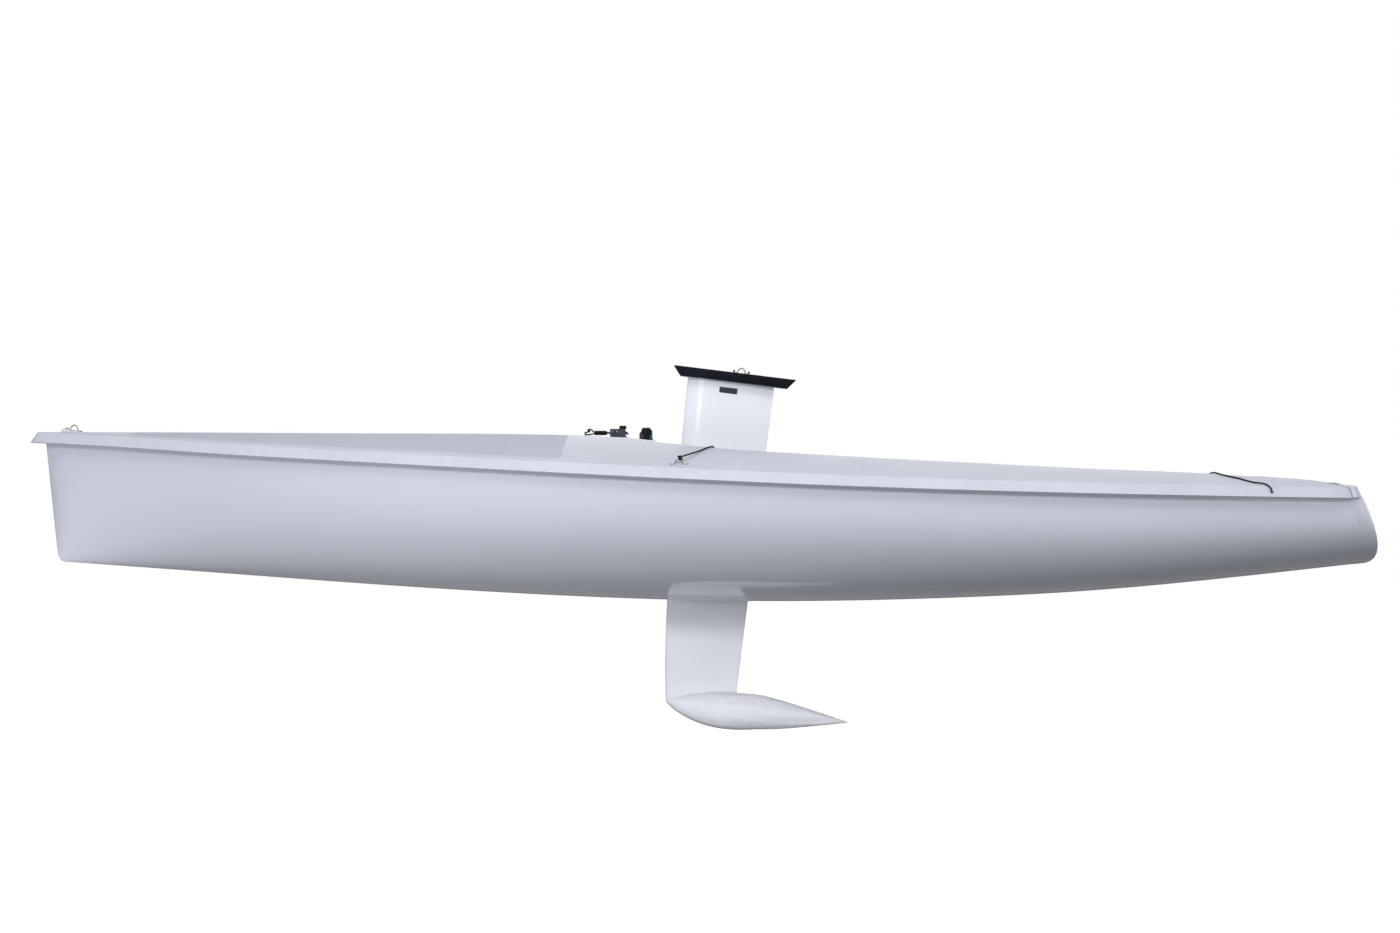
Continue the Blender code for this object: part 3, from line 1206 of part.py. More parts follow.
def make_gudgeons():
    for label, height in zip(("upper", "lower"), GUDGEON_HEIGHTS):
        face = DECK_LENGTH + math.tan(TRANSOM_RAKE) * (TRANSOM_TOP - height)
        plate_place = at(face, 0, height, math.pi / 2 - TRANSOM_RAKE)
        bm = bmesh.new()
        outline = rounded_box(GUDGEON_PLATE_HEIGHT, GUDGEON_PLATE_WIDTH, 0.008, 2)
        prism_into(bm, outline, BOND_GAP, GUDGEON_PLATE, plate_place)
        name = label + "_gudgeon"
        bracket = finish(bm, name, STAINLESS)
        bm = bmesh.new()
        start = face + GUDGEON_ARM_START
        size = (GUDGEON_AXIS_X - start, 2 * GUDGEON_EYE * 0.8, GUDGEON_THICKNESS)
        box_into(bm, size, at((start + GUDGEON_AXIS_X) / 2, 0, height))
        boolean(bracket, finish(bm, name + "_arm", None, SHIP, CUTTERS), "UNION")
        bm = bmesh.new()
        half = GUDGEON_THICKNESS / 2
        barrel = [(GUDGEON_EYE, half + 0.001), (GUDGEON_EYE, -half - 0.001)]
        turned_into(bm, barrel, at(GUDGEON_AXIS_X, 0, height), 20)
        boolean(bracket, finish(bm, name + "_eye", None, SHIP, CUTTERS), "UNION")
        bm = bmesh.new()
        turned_into(bm, [(GUDGEON_HOLE, 0.03), (GUDGEON_HOLE, -0.03)], at(GUDGEON_AXIS_X, 0, height), 16)
        boolean(bracket, finish(bm, name + "_hole", None, SHIP, CUTTERS))
        for side, end in ((-1, "port"), (1, "starboard")):
            spot = plate_place @ local(0, side * GUDGEON_BOLTS, GUDGEON_PLATE)
            make_screw(label + "_gudgeon_bolt_" + end, spot, 0.028, 0.004, 0.0075, 0.004)
            hole([name, "hull_shell"], 0.004 + GAP, 0.01, -0.033, spot)


def main():
    make_hull()
    make_deck()
    make_structure()
    make_keel()
    make_trunk()
    make_pad_eyes()
    make_mast_step()
    make_cleat()
    make_line()
    make_straps()
    make_ties()
    make_gudgeons()
    drill_all()


main()
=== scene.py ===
# Small racing keelboat: the finished hull, deck, lifting keel and deck fittings.
# Metres. X runs aft, Y to starboard, Z up, with the origin on top of the mast step.
import math

import bmesh
import bpy
import numpy as np
from mathutils import Matrix, Vector


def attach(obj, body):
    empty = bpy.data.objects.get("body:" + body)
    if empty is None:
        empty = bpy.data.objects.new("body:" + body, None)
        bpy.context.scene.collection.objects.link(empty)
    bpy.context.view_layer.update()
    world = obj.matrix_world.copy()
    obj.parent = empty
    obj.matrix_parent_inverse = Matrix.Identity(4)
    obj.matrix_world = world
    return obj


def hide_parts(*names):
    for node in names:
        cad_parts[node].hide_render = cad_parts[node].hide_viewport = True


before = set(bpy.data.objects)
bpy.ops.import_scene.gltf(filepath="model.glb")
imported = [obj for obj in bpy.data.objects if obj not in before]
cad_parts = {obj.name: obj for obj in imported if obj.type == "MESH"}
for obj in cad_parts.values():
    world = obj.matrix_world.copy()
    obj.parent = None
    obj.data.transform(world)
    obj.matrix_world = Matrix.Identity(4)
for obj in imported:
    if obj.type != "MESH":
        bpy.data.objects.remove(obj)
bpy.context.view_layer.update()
print("stage: frame loaded with", len(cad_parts), "nodes")

# the boat is drawn from its stem head and its lowest point, then moved to the frame's origin
shipShift = Vector((-2.660, 0.0, -0.763))
noShift = Vector((0, 0, 0))
bothSides = ((-1, "port"), (1, "starboard"))

# Camera, as in the photograph: a level side view of the port side

camera = {"place": (0.239, -12.0, -0.172), "lens": 69.7, "sensor": 36.0, "reach": 200.0}


def linkObject(name, data):
    thing = bpy.data.objects.new(name, data)
    bpy.context.scene.collection.objects.link(thing)
    return thing


def addCamera():
    lens = bpy.data.cameras.new("portCamera")
    lens.lens, lens.sensor_width, lens.clip_end = camera["lens"], camera["sensor"], camera["reach"]
    stand = linkObject("portCamera", lens)
    stand.location = camera["place"]
    stand.rotation_euler = (math.radians(90), 0, 0)
    bpy.context.scene.camera = stand


addCamera()
bpy.context.scene.view_settings.view_transform = "Standard"
print("stage: camera set")

# Shader helpers


def feed(tree, socket, value):
    # a socket takes a plain value, or a link from another node
    if isinstance(value, bpy.types.NodeSocket):
        tree.links.new(value, socket)
    elif isinstance(value, tuple) and socket.type == "RGBA":
        socket.default_value = (*value, 1.0)
    else:
        socket.default_value = value


def addNode(tree, kind, feeds=None, **settings):
    node = tree.nodes.new("ShaderNode" + kind)
    for name, value in settings.items():
        setattr(node, name, value)
    for name, value in (feeds or {}).items():
        feed(tree, node.inputs[name], value)
    return node


def mathNode(tree, operation, *values):
    return addNode(tree, "Math", dict(enumerate(values)), operation=operation).outputs[0]


def rangeNode(tree, value, low, high, newLow=0.0, newHigh=1.0, kind="LINEAR"):
    feeds = {"Value": value, "From Min": low, "From Max": high, "To Min": newLow, "To Max": newHigh}
    return addNode(tree, "MapRange", feeds, interpolation_type=kind).outputs[0]


def noiseNode(tree, spot, scale, detail=2.0, rough=0.5):
    feeds = {"Vector": spot, "Scale": scale, "Detail": detail, "Roughness": rough}
    return addNode(tree, "TexNoise", feeds).outputs["Fac"]


def newGroup(name, inputs, outputs):
    group = bpy.data.node_groups.new(name, "ShaderNodeTree")
    group.interface.new_socket(name="Vector", in_out="INPUT", socket_type="NodeSocketVector")
    for socket, value in inputs.items():
        made = group.interface.new_socket(name=socket, in_out="INPUT", socket_type="NodeSocketFloat")
        made.default_value = value
    for socket in outputs:
        group.interface.new_socket(name=socket, in_out="OUTPUT", socket_type="NodeSocketFloat")
    return group, group.nodes.new("NodeGroupInput").outputs, group.nodes.new("NodeGroupOutput").inputs


def makeMottle():
    # slow and fine changes of shade, as moulded and painted surfaces have
    group, given, out = newGroup("shadeMottle", {"Scale": 4.0, "Low": 0.95, "High": 1.0}, ("Shade", "Cloud"))
    cloud = noiseNode(group, given["Vector"], given["Scale"], 5, 0.55)
    feed(group, out["Shade"], rangeNode(group, cloud, 0.32, 0.68, given["Low"], given["High"]))
    feed(group, out["Cloud"], cloud)
    return group


def makeScuffs():
    # thin scratches that run mostly one way, inside rubbed patches
    group, given, out = newGroup("rubScuffs", {"Scale": 30.0, "Amount": 0.3}, ("Mask",))
    feeds = {"Vector": given["Vector"], "Rotation": (0.1, 0.15, 0.2), "Scale": (0.16, 1.0, 1.6)}
    stretched = addNode(group, "Mapping", feeds).outputs[0]
    thin = rangeNode(group, noiseNode(group, stretched, given["Scale"], 6, 0.7), 0.58, 0.74)
    broad = rangeNode(group, noiseNode(group, given["Vector"], 3.0), 0.42, 0.66)
    both = mathNode(group, "MULTIPLY", thin, broad)
    feed(group, out["Mask"], mathNode(group, "MULTIPLY", both, given["Amount"]))
    return group


def makeGrain():
    # a fine relief: orange peel on gelcoat and paint, moulded texture on plastic
    group, given, out = newGroup("fineGrain", {"Scale": 200.0, "Sharp": 0.5}, ("Height",))
    feed(group, out["Height"], noiseNode(group, given["Vector"], given["Scale"], 3, given["Sharp"]))
    return group


def makeBrush():
    # drawn metal: streaks along one axis
    group, given, out = newGroup("drawnStreaks", {"Fine": 900.0, "Long": 12.0}, ("Streak",))
    split = addNode(group, "SeparateXYZ", {0: given["Vector"]}).outputs
    feeds = {i: mathNode(group, "MULTIPLY", split[i], given[name]) for i, name in enumerate(("Long", "Fine", "Fine"))}
    feed(group, out["Streak"], noiseNode(group, addNode(group, "CombineXYZ", feeds).outputs[0], 1.0, 3))
    return group


def makeCrossing():
    # strands that cross at a slant, for braid and webbing, on a map measured in metres
    fullTurn = 6.2832
    group, given, out = newGroup("crossedStrands", {"Around": 8.0, "Along": 200.0, "Slant": 1.0}, ("Height",))
    split = addNode(group, "SeparateXYZ", {0: given["Vector"]}).outputs
    turns = mathNode(group, "MULTIPLY", split[0], given["Around"])
    lean = mathNode(group, "MULTIPLY", mathNode(group, "MULTIPLY", split[1], given["Along"]), given["Slant"])
    waves = []
    for operation in ("ADD", "SUBTRACT"):
        wave = mathNode(group, "MULTIPLY", mathNode(group, operation, turns, lean), fullTurn)
        waves.append(mathNode(group, "SINE", wave))
    feed(group, out["Height"], rangeNode(group, mathNode(group, "MAXIMUM", *waves), -1.0, 1.0))
    return group


def makeTread():
    # moulded non-slip: small pyramids in rows on the slant
    group, given, out = newGroup("pyramidTread", {"Pitch": 110.0}, ("Height",))
    split = addNode(group, "SeparateXYZ", {0: given["Vector"]}).outputs
    ups = []
    for operation in ("ADD", "SUBTRACT"):
        scaled = mathNode(group, "MULTIPLY", mathNode(group, operation, split[0], split[1]), given["Pitch"])
        ups.append(mathNode(group, "PINGPONG", scaled, 0.5))
    feed(group, out["Height"], mathNode(group, "MULTIPLY", mathNode(group, "MINIMUM", *ups), 2.0))
    return group


mottle, scuffs, grain, brush = makeMottle(), makeScuffs(), makeGrain(), makeBrush()
crossing, tread = makeCrossing(), makeTread()


def placeGroup(tree, group, spot, **values):
    return addNode(tree, "Group", {"Vector": spot, **values}, node_tree=group).outputs


def mixColour(tree, share, first, second, blend="MIX"):
    # sockets 0, 6 and 7 are the share and the two colours, and output 2 is the mixed colour
    feeds = {0: share, 6: first, 7: second}
    return addNode(tree, "Mix", feeds, data_type="RGBA", blend_type=blend).outputs[2]


def shadeColour(tree, colour, shade):
    # the colour times a grey shade
    grey = addNode(tree, "CombineColor", {0: shade, 1: shade, 2: shade}).outputs[0]
    return mixColour(tree, 1.0, colour, grey, "MULTIPLY")


def addBump(tree, shader, height, depth, before=None):
    feeds = {"Strength": 1.0, "Distance": depth, "Height": height}
    if before:
        feeds["Normal"] = before
    bump = addNode(tree, "Bump", feeds).outputs[0]
    feed(tree, shader["Normal"], bump)
    return bump


def startLook(name, rough, metal, specular=0.5):
    look = bpy.data.materials.new(name)
    look.use_nodes = True
    tree = look.node_tree
    shader = tree.nodes["Principled BSDF"].inputs
    shader["Roughness"].default_value = rough
    shader["Metallic"].default_value = metal
    shader["Specular IOR Level"].default_value = specular
    return look, tree, shader, addNode(tree, "TexCoord").outputs["Object"]


def addWear(tree, shader, base, rough, rub, worn):
    # scuffs show the worn colour and are duller
    scuffDull = 0.3
    feed(tree, shader["Base Color"], mixColour(tree, rub, base, worn))
    dull = mathNode(tree, "MULTIPLY", rub, scuffDull)
    feed(tree, shader["Roughness"], mathNode(tree, "ADD", rough, dull))


def plainLook(name, colour, worn, rough, metal=0.0, cloud=5.0, shades=(0.94, 1.03), scratch=40.0, rubbed=0.25,
              spread=0.06, grainScale=300.0, streaks=None, relief=0.00003, specular=0.5, coat=None):
    # one recipe for moulded, painted, coated and turned finishes, each with its own scales
    look, tree, shader, spot = startLook(name, rough, metal, specular)
    cloudy = placeGroup(tree, mottle, spot, Scale=cloud, Low=shades[0], High=shades[1])
    rub = placeGroup(tree, scuffs, spot, Scale=scratch, Amount=rubbed)["Mask"]
    hazy = rangeNode(tree, cloudy["Cloud"], 0.3, 0.7, max(0.02, rough - spread), rough + spread)
    addWear(tree, shader, shadeColour(tree, colour, cloudy["Shade"]), hazy, rub, worn)
    if streaks:
        fine = placeGroup(tree, brush, spot, Fine=streaks)["Streak"]
    else:
        fine = placeGroup(tree, grain, spot, Scale=grainScale)["Height"]
    addBump(tree, shader, fine, relief)
    if coat:
        shader["Coat Weight"].default_value = coat
        shader["Coat Roughness"].default_value = 0.05
    return look


def deckLook(name, colour, tone, worn, rough):
    # smooth gelcoat with moulded non-slip panels, whose edges come from the mesh's own attribute
    look, tree, shader, spot = startLook(name, rough, 0.0, 0.14)
    edge = addNode(tree, "Attribute", attribute_name="panelEdge").outputs["Fac"]
    panel = rangeNode(tree, edge, 0.0, 0.0015, kind="SMOOTHSTEP")
    base = mixColour(tree, panel, colour, tone)
    for scale, low, high in ((3.0, 0.965, 1.02), (26.0, 0.97, 1.01)):
        base = shadeColour(tree, base, placeGroup(tree, mottle, spot, Scale=scale, Low=low, High=high)["Shade"])
    rub = placeGroup(tree, scuffs, spot, Scale=24.0, Amount=0.16)["Mask"]
    addWear(tree, shader, base, rangeNode(tree, panel, 0.0, 1.0, rough, rough + 0.12), rub, worn)
    first = addBump(tree, shader, placeGroup(tree, grain, spot, Scale=160.0)["Height"], 0.00004)
    raised = mathNode(tree, "MULTIPLY", placeGroup(tree, tread, spot)["Height"], panel)
    addBump(tree, shader, raised, 0.0009, first)
    return look


def strandLook(name, colour, light, around, along, slant, depth, rough=0.78):
    # braided or woven cloth on the piece's own map, paler where the strands stand highest: a painted highlight on
    # their crowns
    look, tree, shader, spot = startLook(name, rough, 0.0, 0.22)
    own = addNode(tree, "UVMap", uv_map="strandMap").outputs[0]
    strands = placeGroup(tree, crossing, own, Around=around, Along=along, Slant=slant)["Height"]
    fuzz = placeGroup(tree, mottle, spot, Scale=900.0, Low=0.6, High=1.25)
    # painted highlight: the paler colour goes on the raised strands and the base colour stays in the valleys between
    # them
    base = mixColour(tree, rangeNode(tree, strands, 0.35, 1.0, 0.0, 0.55), colour, light)
    feed(tree, shader["Base Color"], shadeColour(tree, base, fuzz["Shade"]))
    shader["Sheen Weight"].default_value = 0.03
    shader["Sheen Roughness"].default_value = 0.5
    feed(tree, shader["Roughness"], rangeNode(tree, fuzz["Cloud"], 0.3, 0.7, rough - 0.08, rough + 0.1))
    addBump(tree, shader, strands, depth)
    return look


def wovenLook(name, colour):
    # bare woven laminate inside the boat, darker in the hollows of its weave and lighter on its crowns: painted shade
    # and highlight
    look, tree, shader, spot = startLook(name, 0.55, 0.0)
    spread = placeGroup(tree, mottle, spot, Scale=7.0, Low=0.8, High=1.08)
    weave = placeGroup(tree, tread, spot, Pitch=90.0)["Height"]
    base = shadeColour(tree, colour, spread["Shade"])
    # painted shade in the weave's hollows and painted highlight on its crowns
    base = shadeColour(tree, base, rangeNode(tree, weave, 0.0, 1.0, 0.86, 1.04))
    feed(tree, shader["Base Color"], base)
    feed(tree, shader["Roughness"], rangeNode(tree, spread["Cloud"], 0.3, 0.7, 0.4, 0.7))
    addBump(tree, shader, weave, 0.0004)
    return look


# colours, roughness, wear and relief of the plain finishes
plainFinishes = {
    # painted shade: the hull's white gelcoat gets a darker lavender grey that stands for the shade falling on it
    "gelcoat": {"name": "hullGelcoatPaintedShade", "colour": (0.60, 0.62, 0.70), "worn": (0.55, 0.57, 0.63), "rough": 0.10,
                "cloud": 1.2, "shades": (0.985, 1.01), "scratch": 16.0, "rubbed": 0.10, "spread": 0.03,
                "grainScale": 60.0, "coat": 0.5},
    "paint": {"name": "keelPaint", "colour": (0.72, 0.75, 0.80), "worn": (0.62, 0.64, 0.66), "rough": 0.16,
              "cloud": 2.0, "shades": (0.98, 1.01), "scratch": 22.0, "rubbed": 0.12, "spread": 0.04,
              "grainScale": 80.0, "coat": 0.35},
    "blackCoat": {"name": "blackCoat", "colour": (0.008, 0.009, 0.013), "worn": (0.030, 0.032, 0.038), "rough": 0.42,
                  "cloud": 14.0, "shades": (0.8, 1.4), "scratch": 70.0, "rubbed": 0.22, "spread": 0.08,
                  "grainScale": 900.0, "relief": 0.00004, "specular": 0.12},
    "steel": {"name": "stainless", "colour": (0.40, 0.405, 0.41), "worn": (0.62, 0.62, 0.61), "rough": 0.24,
              "metal": 1.0, "cloud": 40.0, "shades": (0.9, 1.05), "scratch": 220.0, "rubbed": 0.3, "spread": 0.08,
              "streaks": 1600.0, "relief": 0.00002},
    "dullSteel": {"name": "dullSteel", "colour": (0.10, 0.103, 0.11), "worn": (0.30, 0.30, 0.31), "rough": 0.34,
                  "metal": 1.0, "cloud": 60.0, "shades": (0.8, 1.1), "scratch": 220.0, "rubbed": 0.4,
                  "spread": 0.08, "streaks": 1600.0, "relief": 0.00002},
    "alloy": {"name": "blueGreyAlloy", "colour": (0.066, 0.078, 0.106), "worn": (0.24, 0.255, 0.29), "rough": 0.36,
              "metal": 0.8, "cloud": 60.0, "shades": (0.85, 1.1), "scratch": 260.0, "rubbed": 0.4, "spread": 0.1,
              "grainScale": 1800.0, "relief": 0.00002},
    "nylon": {"name": "blackNylon", "colour": (0.006, 0.007, 0.009), "worn": (0.022, 0.024, 0.028), "rough": 0.42,
              "cloud": 50.0, "shades": (0.8, 1.35), "scratch": 200.0, "rubbed": 0.5, "spread": 0.1,
              "grainScale": 1500.0, "relief": 0.00004, "specular": 0.12},
    "teal": {"name": "tealNylon", "colour": (0.012, 0.105, 0.135), "worn": (0.05, 0.18, 0.21), "rough": 0.4,
             "cloud": 60.0, "shades": (0.85, 1.15), "scratch": 200.0, "rubbed": 0.4, "spread": 0.1,
             "grainScale": 1500.0},
    "slidePlastic": {"name": "slidePlastic", "colour": (0.72, 0.73, 0.71), "worn": (0.55, 0.56, 0.55), "rough": 0.48,
                     "cloud": 30.0, "shades": (0.9, 1.03), "scratch": 120.0, "rubbed": 0.3, "grainScale": 900.0,
                     "relief": 0.00004},
    "foil": {"name": "greyFoil", "colour": (0.030, 0.036, 0.050), "worn": (0.16, 0.17, 0.19), "rough": 0.36,
             "metal": 0.5, "cloud": 80.0, "shades": (0.85, 1.2), "scratch": 300.0, "rubbed": 0.4,
             "streaks": 2600.0, "relief": 0.00002},
}
looks = {key: plainLook(**made) for key, made in plainFinishes.items()}
looks["deck"] = deckLook("deckGelcoat", (0.552, 0.573, 0.642), (0.498, 0.519, 0.593), (0.44, 0.45, 0.50), 0.62)
looks["laminate"] = wovenLook("bareLaminate", (0.50, 0.48, 0.40))
# the second colour of each cord and of the webbing is its painted highlight on the strands' crowns
looks["cord"] = strandLook("blackBraid", (0.004, 0.005, 0.007), (0.015, 0.017, 0.023), 8.0, 280.0, 0.5, 0.0004)
looks["blueCord"] = strandLook("blueBraid", (0.004, 0.010, 0.026), (0.014, 0.032, 0.078), 8.0, 400.0, 0.5, 0.0003)
looks["webbing"] = strandLook("blackWebbing", (0.012, 0.013, 0.016), (0.045, 0.05, 0.055), 420.0, 420.0, 1.0, 0.0003)
print("stage: finishes made")

# The frame's own nodes that no finer piece stands for

bareNodes = {
    "laminate": ("bow_bulkhead", "main_bulkhead", "aft_bulkhead", "floor_stringer_port", "floor_stringer_starboard"),
    "slidePlastic": ("upper_keel_guide", "lower_keel_guide"),
}
nodeLooks = {node: look for look, nodes in bareNodes.items() for node in nodes}
for nodeName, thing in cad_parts.items():
    thing.data.materials.clear()
    thing.data.materials.append(looks[nodeLooks.get(nodeName, "steel")])

# Lines of the boat: rows along the deck, as shares of its length

lines = {
    "length": 5.611,
    "beam": 2.0998,
    "shares": (0.0, 0.07, 0.15, 0.25, 0.40, 0.55, 0.70, 0.85, 1.0),
    "breadths": (0.081, 0.252, 0.457, 0.686, 0.895, 0.986, 1.0, 0.952, 0.829),
    "sheers": (0.7415, 0.7205, 0.691, 0.6595, 0.6146, 0.5733, 0.5418, 0.5205, 0.505),
    "fullness": (1.75, 1.80, 1.95, 2.10, 2.25, 2.40, 2.60, 2.85, 3.05),
    "rockerShares": (0.0267, 0.1248, 0.2495, 0.392, 0.570, 0.695, 0.820, 0.927, 1.025),
    "rockers": (0.1655, 0.1255, 0.0750, 0.0275, 0.0003, 0.0135, 0.0505, 0.1075, 0.168),
    "crestShares": (0.0, 0.12, 0.25, 0.36, 0.43, 0.475, 0.50),
    "crests": (0.7435, 0.7415, 0.7375, 0.7350, 0.7262, 0.7105, 0.6935),
    "coamingShares": (0.488, 0.508, 0.526, 0.591, 0.665, 0.739, 0.814, 0.888, 0.945, 0.971, 1.0),
    "coamings": (0.694, 0.680, 0.6695, 0.6452, 0.622, 0.6014, 0.5806, 0.564, 0.5445, 0.536, 0.5285),
}


def smoothLine(xs, ys):
    # a natural cubic through the points, straight past its ends
    xs, ys = np.array(xs, float), np.array(ys, float)
    steps, count = np.diff(xs), len(xs)
    system, right = np.eye(count), np.zeros(count)
    for i in range(1, count - 1):
        system[i, i - 1:i + 2] = steps[i - 1], 2 * (steps[i - 1] + steps[i]), steps[i]
        right[i] = 6 * ((ys[i + 1] - ys[i]) / steps[i] - (ys[i] - ys[i - 1]) / steps[i - 1])
    bends = np.linalg.solve(system, right)

    def value(x):
        i = int(np.clip(np.searchsorted(xs, x) - 1, 0, count - 2))
        h = steps[i]
        if x < xs[0] or x > xs[-1]:
            slope = (ys[i + 1] - ys[i]) / h
            if x < xs[0]:
                return float(ys[0] + (slope - h / 6 * (2 * bends[i] + bends[i + 1])) * (x - xs[0]))
            return float(ys[-1] + (slope + h / 6 * (bends[i] + 2 * bends[i + 1])) * (x - xs[-1]))
        a, b = (xs[i + 1] - x) / h, (x - xs[i]) / h
        cubic = (a ** 3 - a) * bends[i] + (b ** 3 - b) * bends[i + 1]
        return float(a * ys[i] + b * ys[i + 1] + cubic * h * h / 6)

    return value


def easeStep(share):
    share = min(max(share, 0.0), 1.0)
    return share * share * (3 - 2 * share)


def partWay(start, end, share):
    return tuple(a + (b - a) * share for a, b in zip(start, end))


deckLength = lines["length"]
breadthLine, sheerLine, fullnessLine = (smoothLine(lines["shares"], lines[row])
                                        for row in ("breadths", "sheers", "fullness"))
rockerLine, crestLine, coamingLine = (smoothLine(lines[row + "Shares"], lines[row + "s"])
                                      for row in ("rocker", "crest", "coaming"))


def lipHalf(x):
    return breadthLine(x / deckLength) * lines["beam"] / 2


def sheerHeight(x):
    return sheerLine(x / deckLength)


# Meshes made from rows of points, where no primitive gives the shape


def meshPiece(name, points, faces, shift=shipShift):
    mesh = bpy.data.meshes.new(name)
    mesh.from_pydata([tuple(Vector(p) + shift) for p in points], [], faces)
    return linkObject(name, mesh)


def bridgeRings(rings, closed=True):
    # the faces between rows of point numbers that follow each other
    faces = []
    for near, far in zip(rings, rings[1:]):
        for i in range(len(near) if closed else len(near) - 1):
            j = (i + 1) % len(near)
            faces.append((near[i], near[j], far[j], far[i]))
    return faces


def loftPiece(name, rings, shift=noShift):
    # a skin over closed rings of points, with a cap on the first and the last
    size, points = len(rings[0]), [point for ring in rings for point in ring]
    marks = [range(size * r, size * (r + 1)) for r in range(len(rings))]
    return meshPiece(name, points, bridgeRings(marks) + [tuple(marks[0][::-1]), tuple(marks[-1])], shift)


def turnOut(thing, apart=0.00002):
    # doubles merged, then every face turned outwards
    work = bmesh.new()
    work.from_mesh(thing.data)
    bmesh.ops.remove_doubles(work, verts=work.verts, dist=apart)
    bmesh.ops.recalc_face_normals(work, faces=work.faces)
    work.to_mesh(thing.data)
    work.free()
    return thing


# Hull shell

hull = {
    "wall": 0.008, "transomWall": 0.014, "transomEdge": 0.005, "transomTop": 0.498, "transomRake": math.radians(23.3),
    "rakeStart": 4.9613, "solidStem": 0.06, "stemHalf": 0.010, "stemTop": 0.725, "stemRake": math.radians(6.2),
    "bowRun": 0.45, "bowFlare": 1.2, "forefoot": 0.030, "underLip": 0.050, "bowUnderLip": 0.025,
    "sternUnderLip": 0.0125, "sternRun": 5.5405, "rimDrop": 0.011, "rowGap": 0.04, "halfSteps": 46,
    "stemRows": (0.018, 0.028, 0.04), "stemTurn": (10, 25, 42, 62, 90), "edgeTurn": (22, 45, 67, 90),
}
band = {"out": 0.031, "drop": 0.044, "front": 0.029, "back": 0.015, "backLift": 0.003, "round": 0.009, "thick": 0.006}


def hullHalf(x):
    bow = hull["bowUnderLip"] * max(0.0, 1 - x / (1.5 * hull["solidStem"])) ** 2
    stern = easeStep((x - hull["sternRun"]) / (deckLength - hull["sternRun"]))
    return lipHalf(x) - (hull["underLip"] + bow) * (1 - stern) - hull["sternUnderLip"] * stern


def bowShare(x):
    return max(0.0, 1 - x / hull["bowRun"]) ** 2


def raked(x, z):
    bow = bowShare(x) * math.tan(hull["stemRake"]) * (hull["stemTop"] - z)
    stern = max(0.0, (x - hull["rakeStart"]) / (deckLength - hull["rakeStart"]))
    return x + bow + stern * math.tan(hull["transomRake"]) * (hull["transomTop"] - z)


def keelHeight(x):
    along = raked(x, rockerLine(x / deckLength))
    start, radius = raked(0.0, lines["rockers"][0]), hull["forefoot"]
    left = min(radius, radius - (along - start))
    lift = radius - math.sqrt(radius ** 2 - left ** 2) if left > 0 else 0.0
    return rockerLine(along / deckLength) + lift


def hullSection(x, inset, keelInset, breadthShare=1.0):
    # half a section, from the keel line up to the rim under the deck's band
    half, crease = hullHalf(x), lipHalf(x) - band["out"]
    rim = sheerHeight(x) - band["drop"] * max(0.0, half - crease) / band["out"] - hull["rimDrop"]
    low, steps = keelHeight(x) + keelInset, hull["halfSteps"]
    breadth, power = half * breadthShare - inset, 2 / fullnessLine(x / deckLength)
    points = []
    for i in range(steps + 1):
        angle = math.pi / 2 * i / steps
        y = breadth * math.sin(angle) ** power if i else 0.0
        z = rim - (rim - low) * (math.cos(angle) ** power if i < steps else 0.0)
        points.append((raked(x, z), y, z))
    return points


def hullRows():
    # place along the boat, inset and share of breadth for each row, with a round stem and transom edge
    rows = []
    for degrees in hull["stemTurn"]:
        a = math.radians(degrees)
        rows.append((hull["stemHalf"] * (1 - math.cos(a)), 0.0, math.sin(a)))
    start, back, r = hull["solidStem"], deckLength - hull["transomWall"], hull["transomEdge"]
    middle = np.linspace(start, back, int((back - start) / hull["rowGap"]) + 1)[1:]
    rows += [(float(x), 0.0, 1.0) for x in [*hull["stemRows"], start, *middle, deckLength - r]]
    for degrees in hull["edgeTurn"]:
        a = math.radians(degrees)
        rows.append((deckLength - r + r * math.sin(a), r * (1 - math.cos(a)), 1.0))
    return rows


def makeHull():
    rows, points = hullRows(), []

    def addRow(section):
        whole = [(x, -y, z) for x, y, z in section[:0:-1]] + section
        points.extend(whole)
        return range(len(points) - len(whole), len(points))

    def firstRow(edge):
        return next(i for i, row in enumerate(rows) if row[0] >= edge - 1e-6)

    outer = [addRow(hullSection(x, inset, inset, share)) for x, inset, share in rows]
    start, stop = firstRow(hull["solidStem"]), firstRow(deckLength - hull["transomWall"])
    inner = []
    for x, inset, share in rows[start:stop + 1]:
        flare = hull["wall"] * (1 + hull["bowFlare"] * bowShare(x * 0.5))
        inner.append(addRow(hullSection(x, hull["wall"], flare)))
    faces = bridgeRings(outer, False) + bridgeRings(inner, False)
    for ring in (outer[0], outer[-1], inner[0], inner[-1]):
        faces += [(ring[i], ring[i + 1], ring[-2 - i], ring[-1 - i]) for i in range(hull["halfSteps"])]
    for near, far in zip(outer[:start], outer[1:start]):
        faces.append((near[0], far[0], far[-1], near[-1]))
    front, first = outer[start - 1], outer[start]
    faces.append((front[0], first[0], inner[0][0], inner[0][-1], first[-1], front[-1]))
    for out, nextOut, inside, nextIn in zip(outer[start:], outer[start + 1:], inner, inner[1:]):
        faces.append((out[0], nextOut[0], nextIn[0], inside[0]))
        faces.append((out[-1], inside[-1], nextIn[-1], nextOut[-1]))
    port, starboard = ([ring[end] for ring in outer[stop:]] for end in (0, -1))
    faces.append((inner[-1][0], *port, *starboard[::-1], inner[-1][-1]))
    return turnOut(meshPiece("hullSkin", points, faces))


hullSkin = makeHull()
print("stage: hull lofted,", len(hullSkin.data.polygons), "faces")

# Deck moulding: foredeck, cockpit well, side decks, stern deck and the turned-down band round it

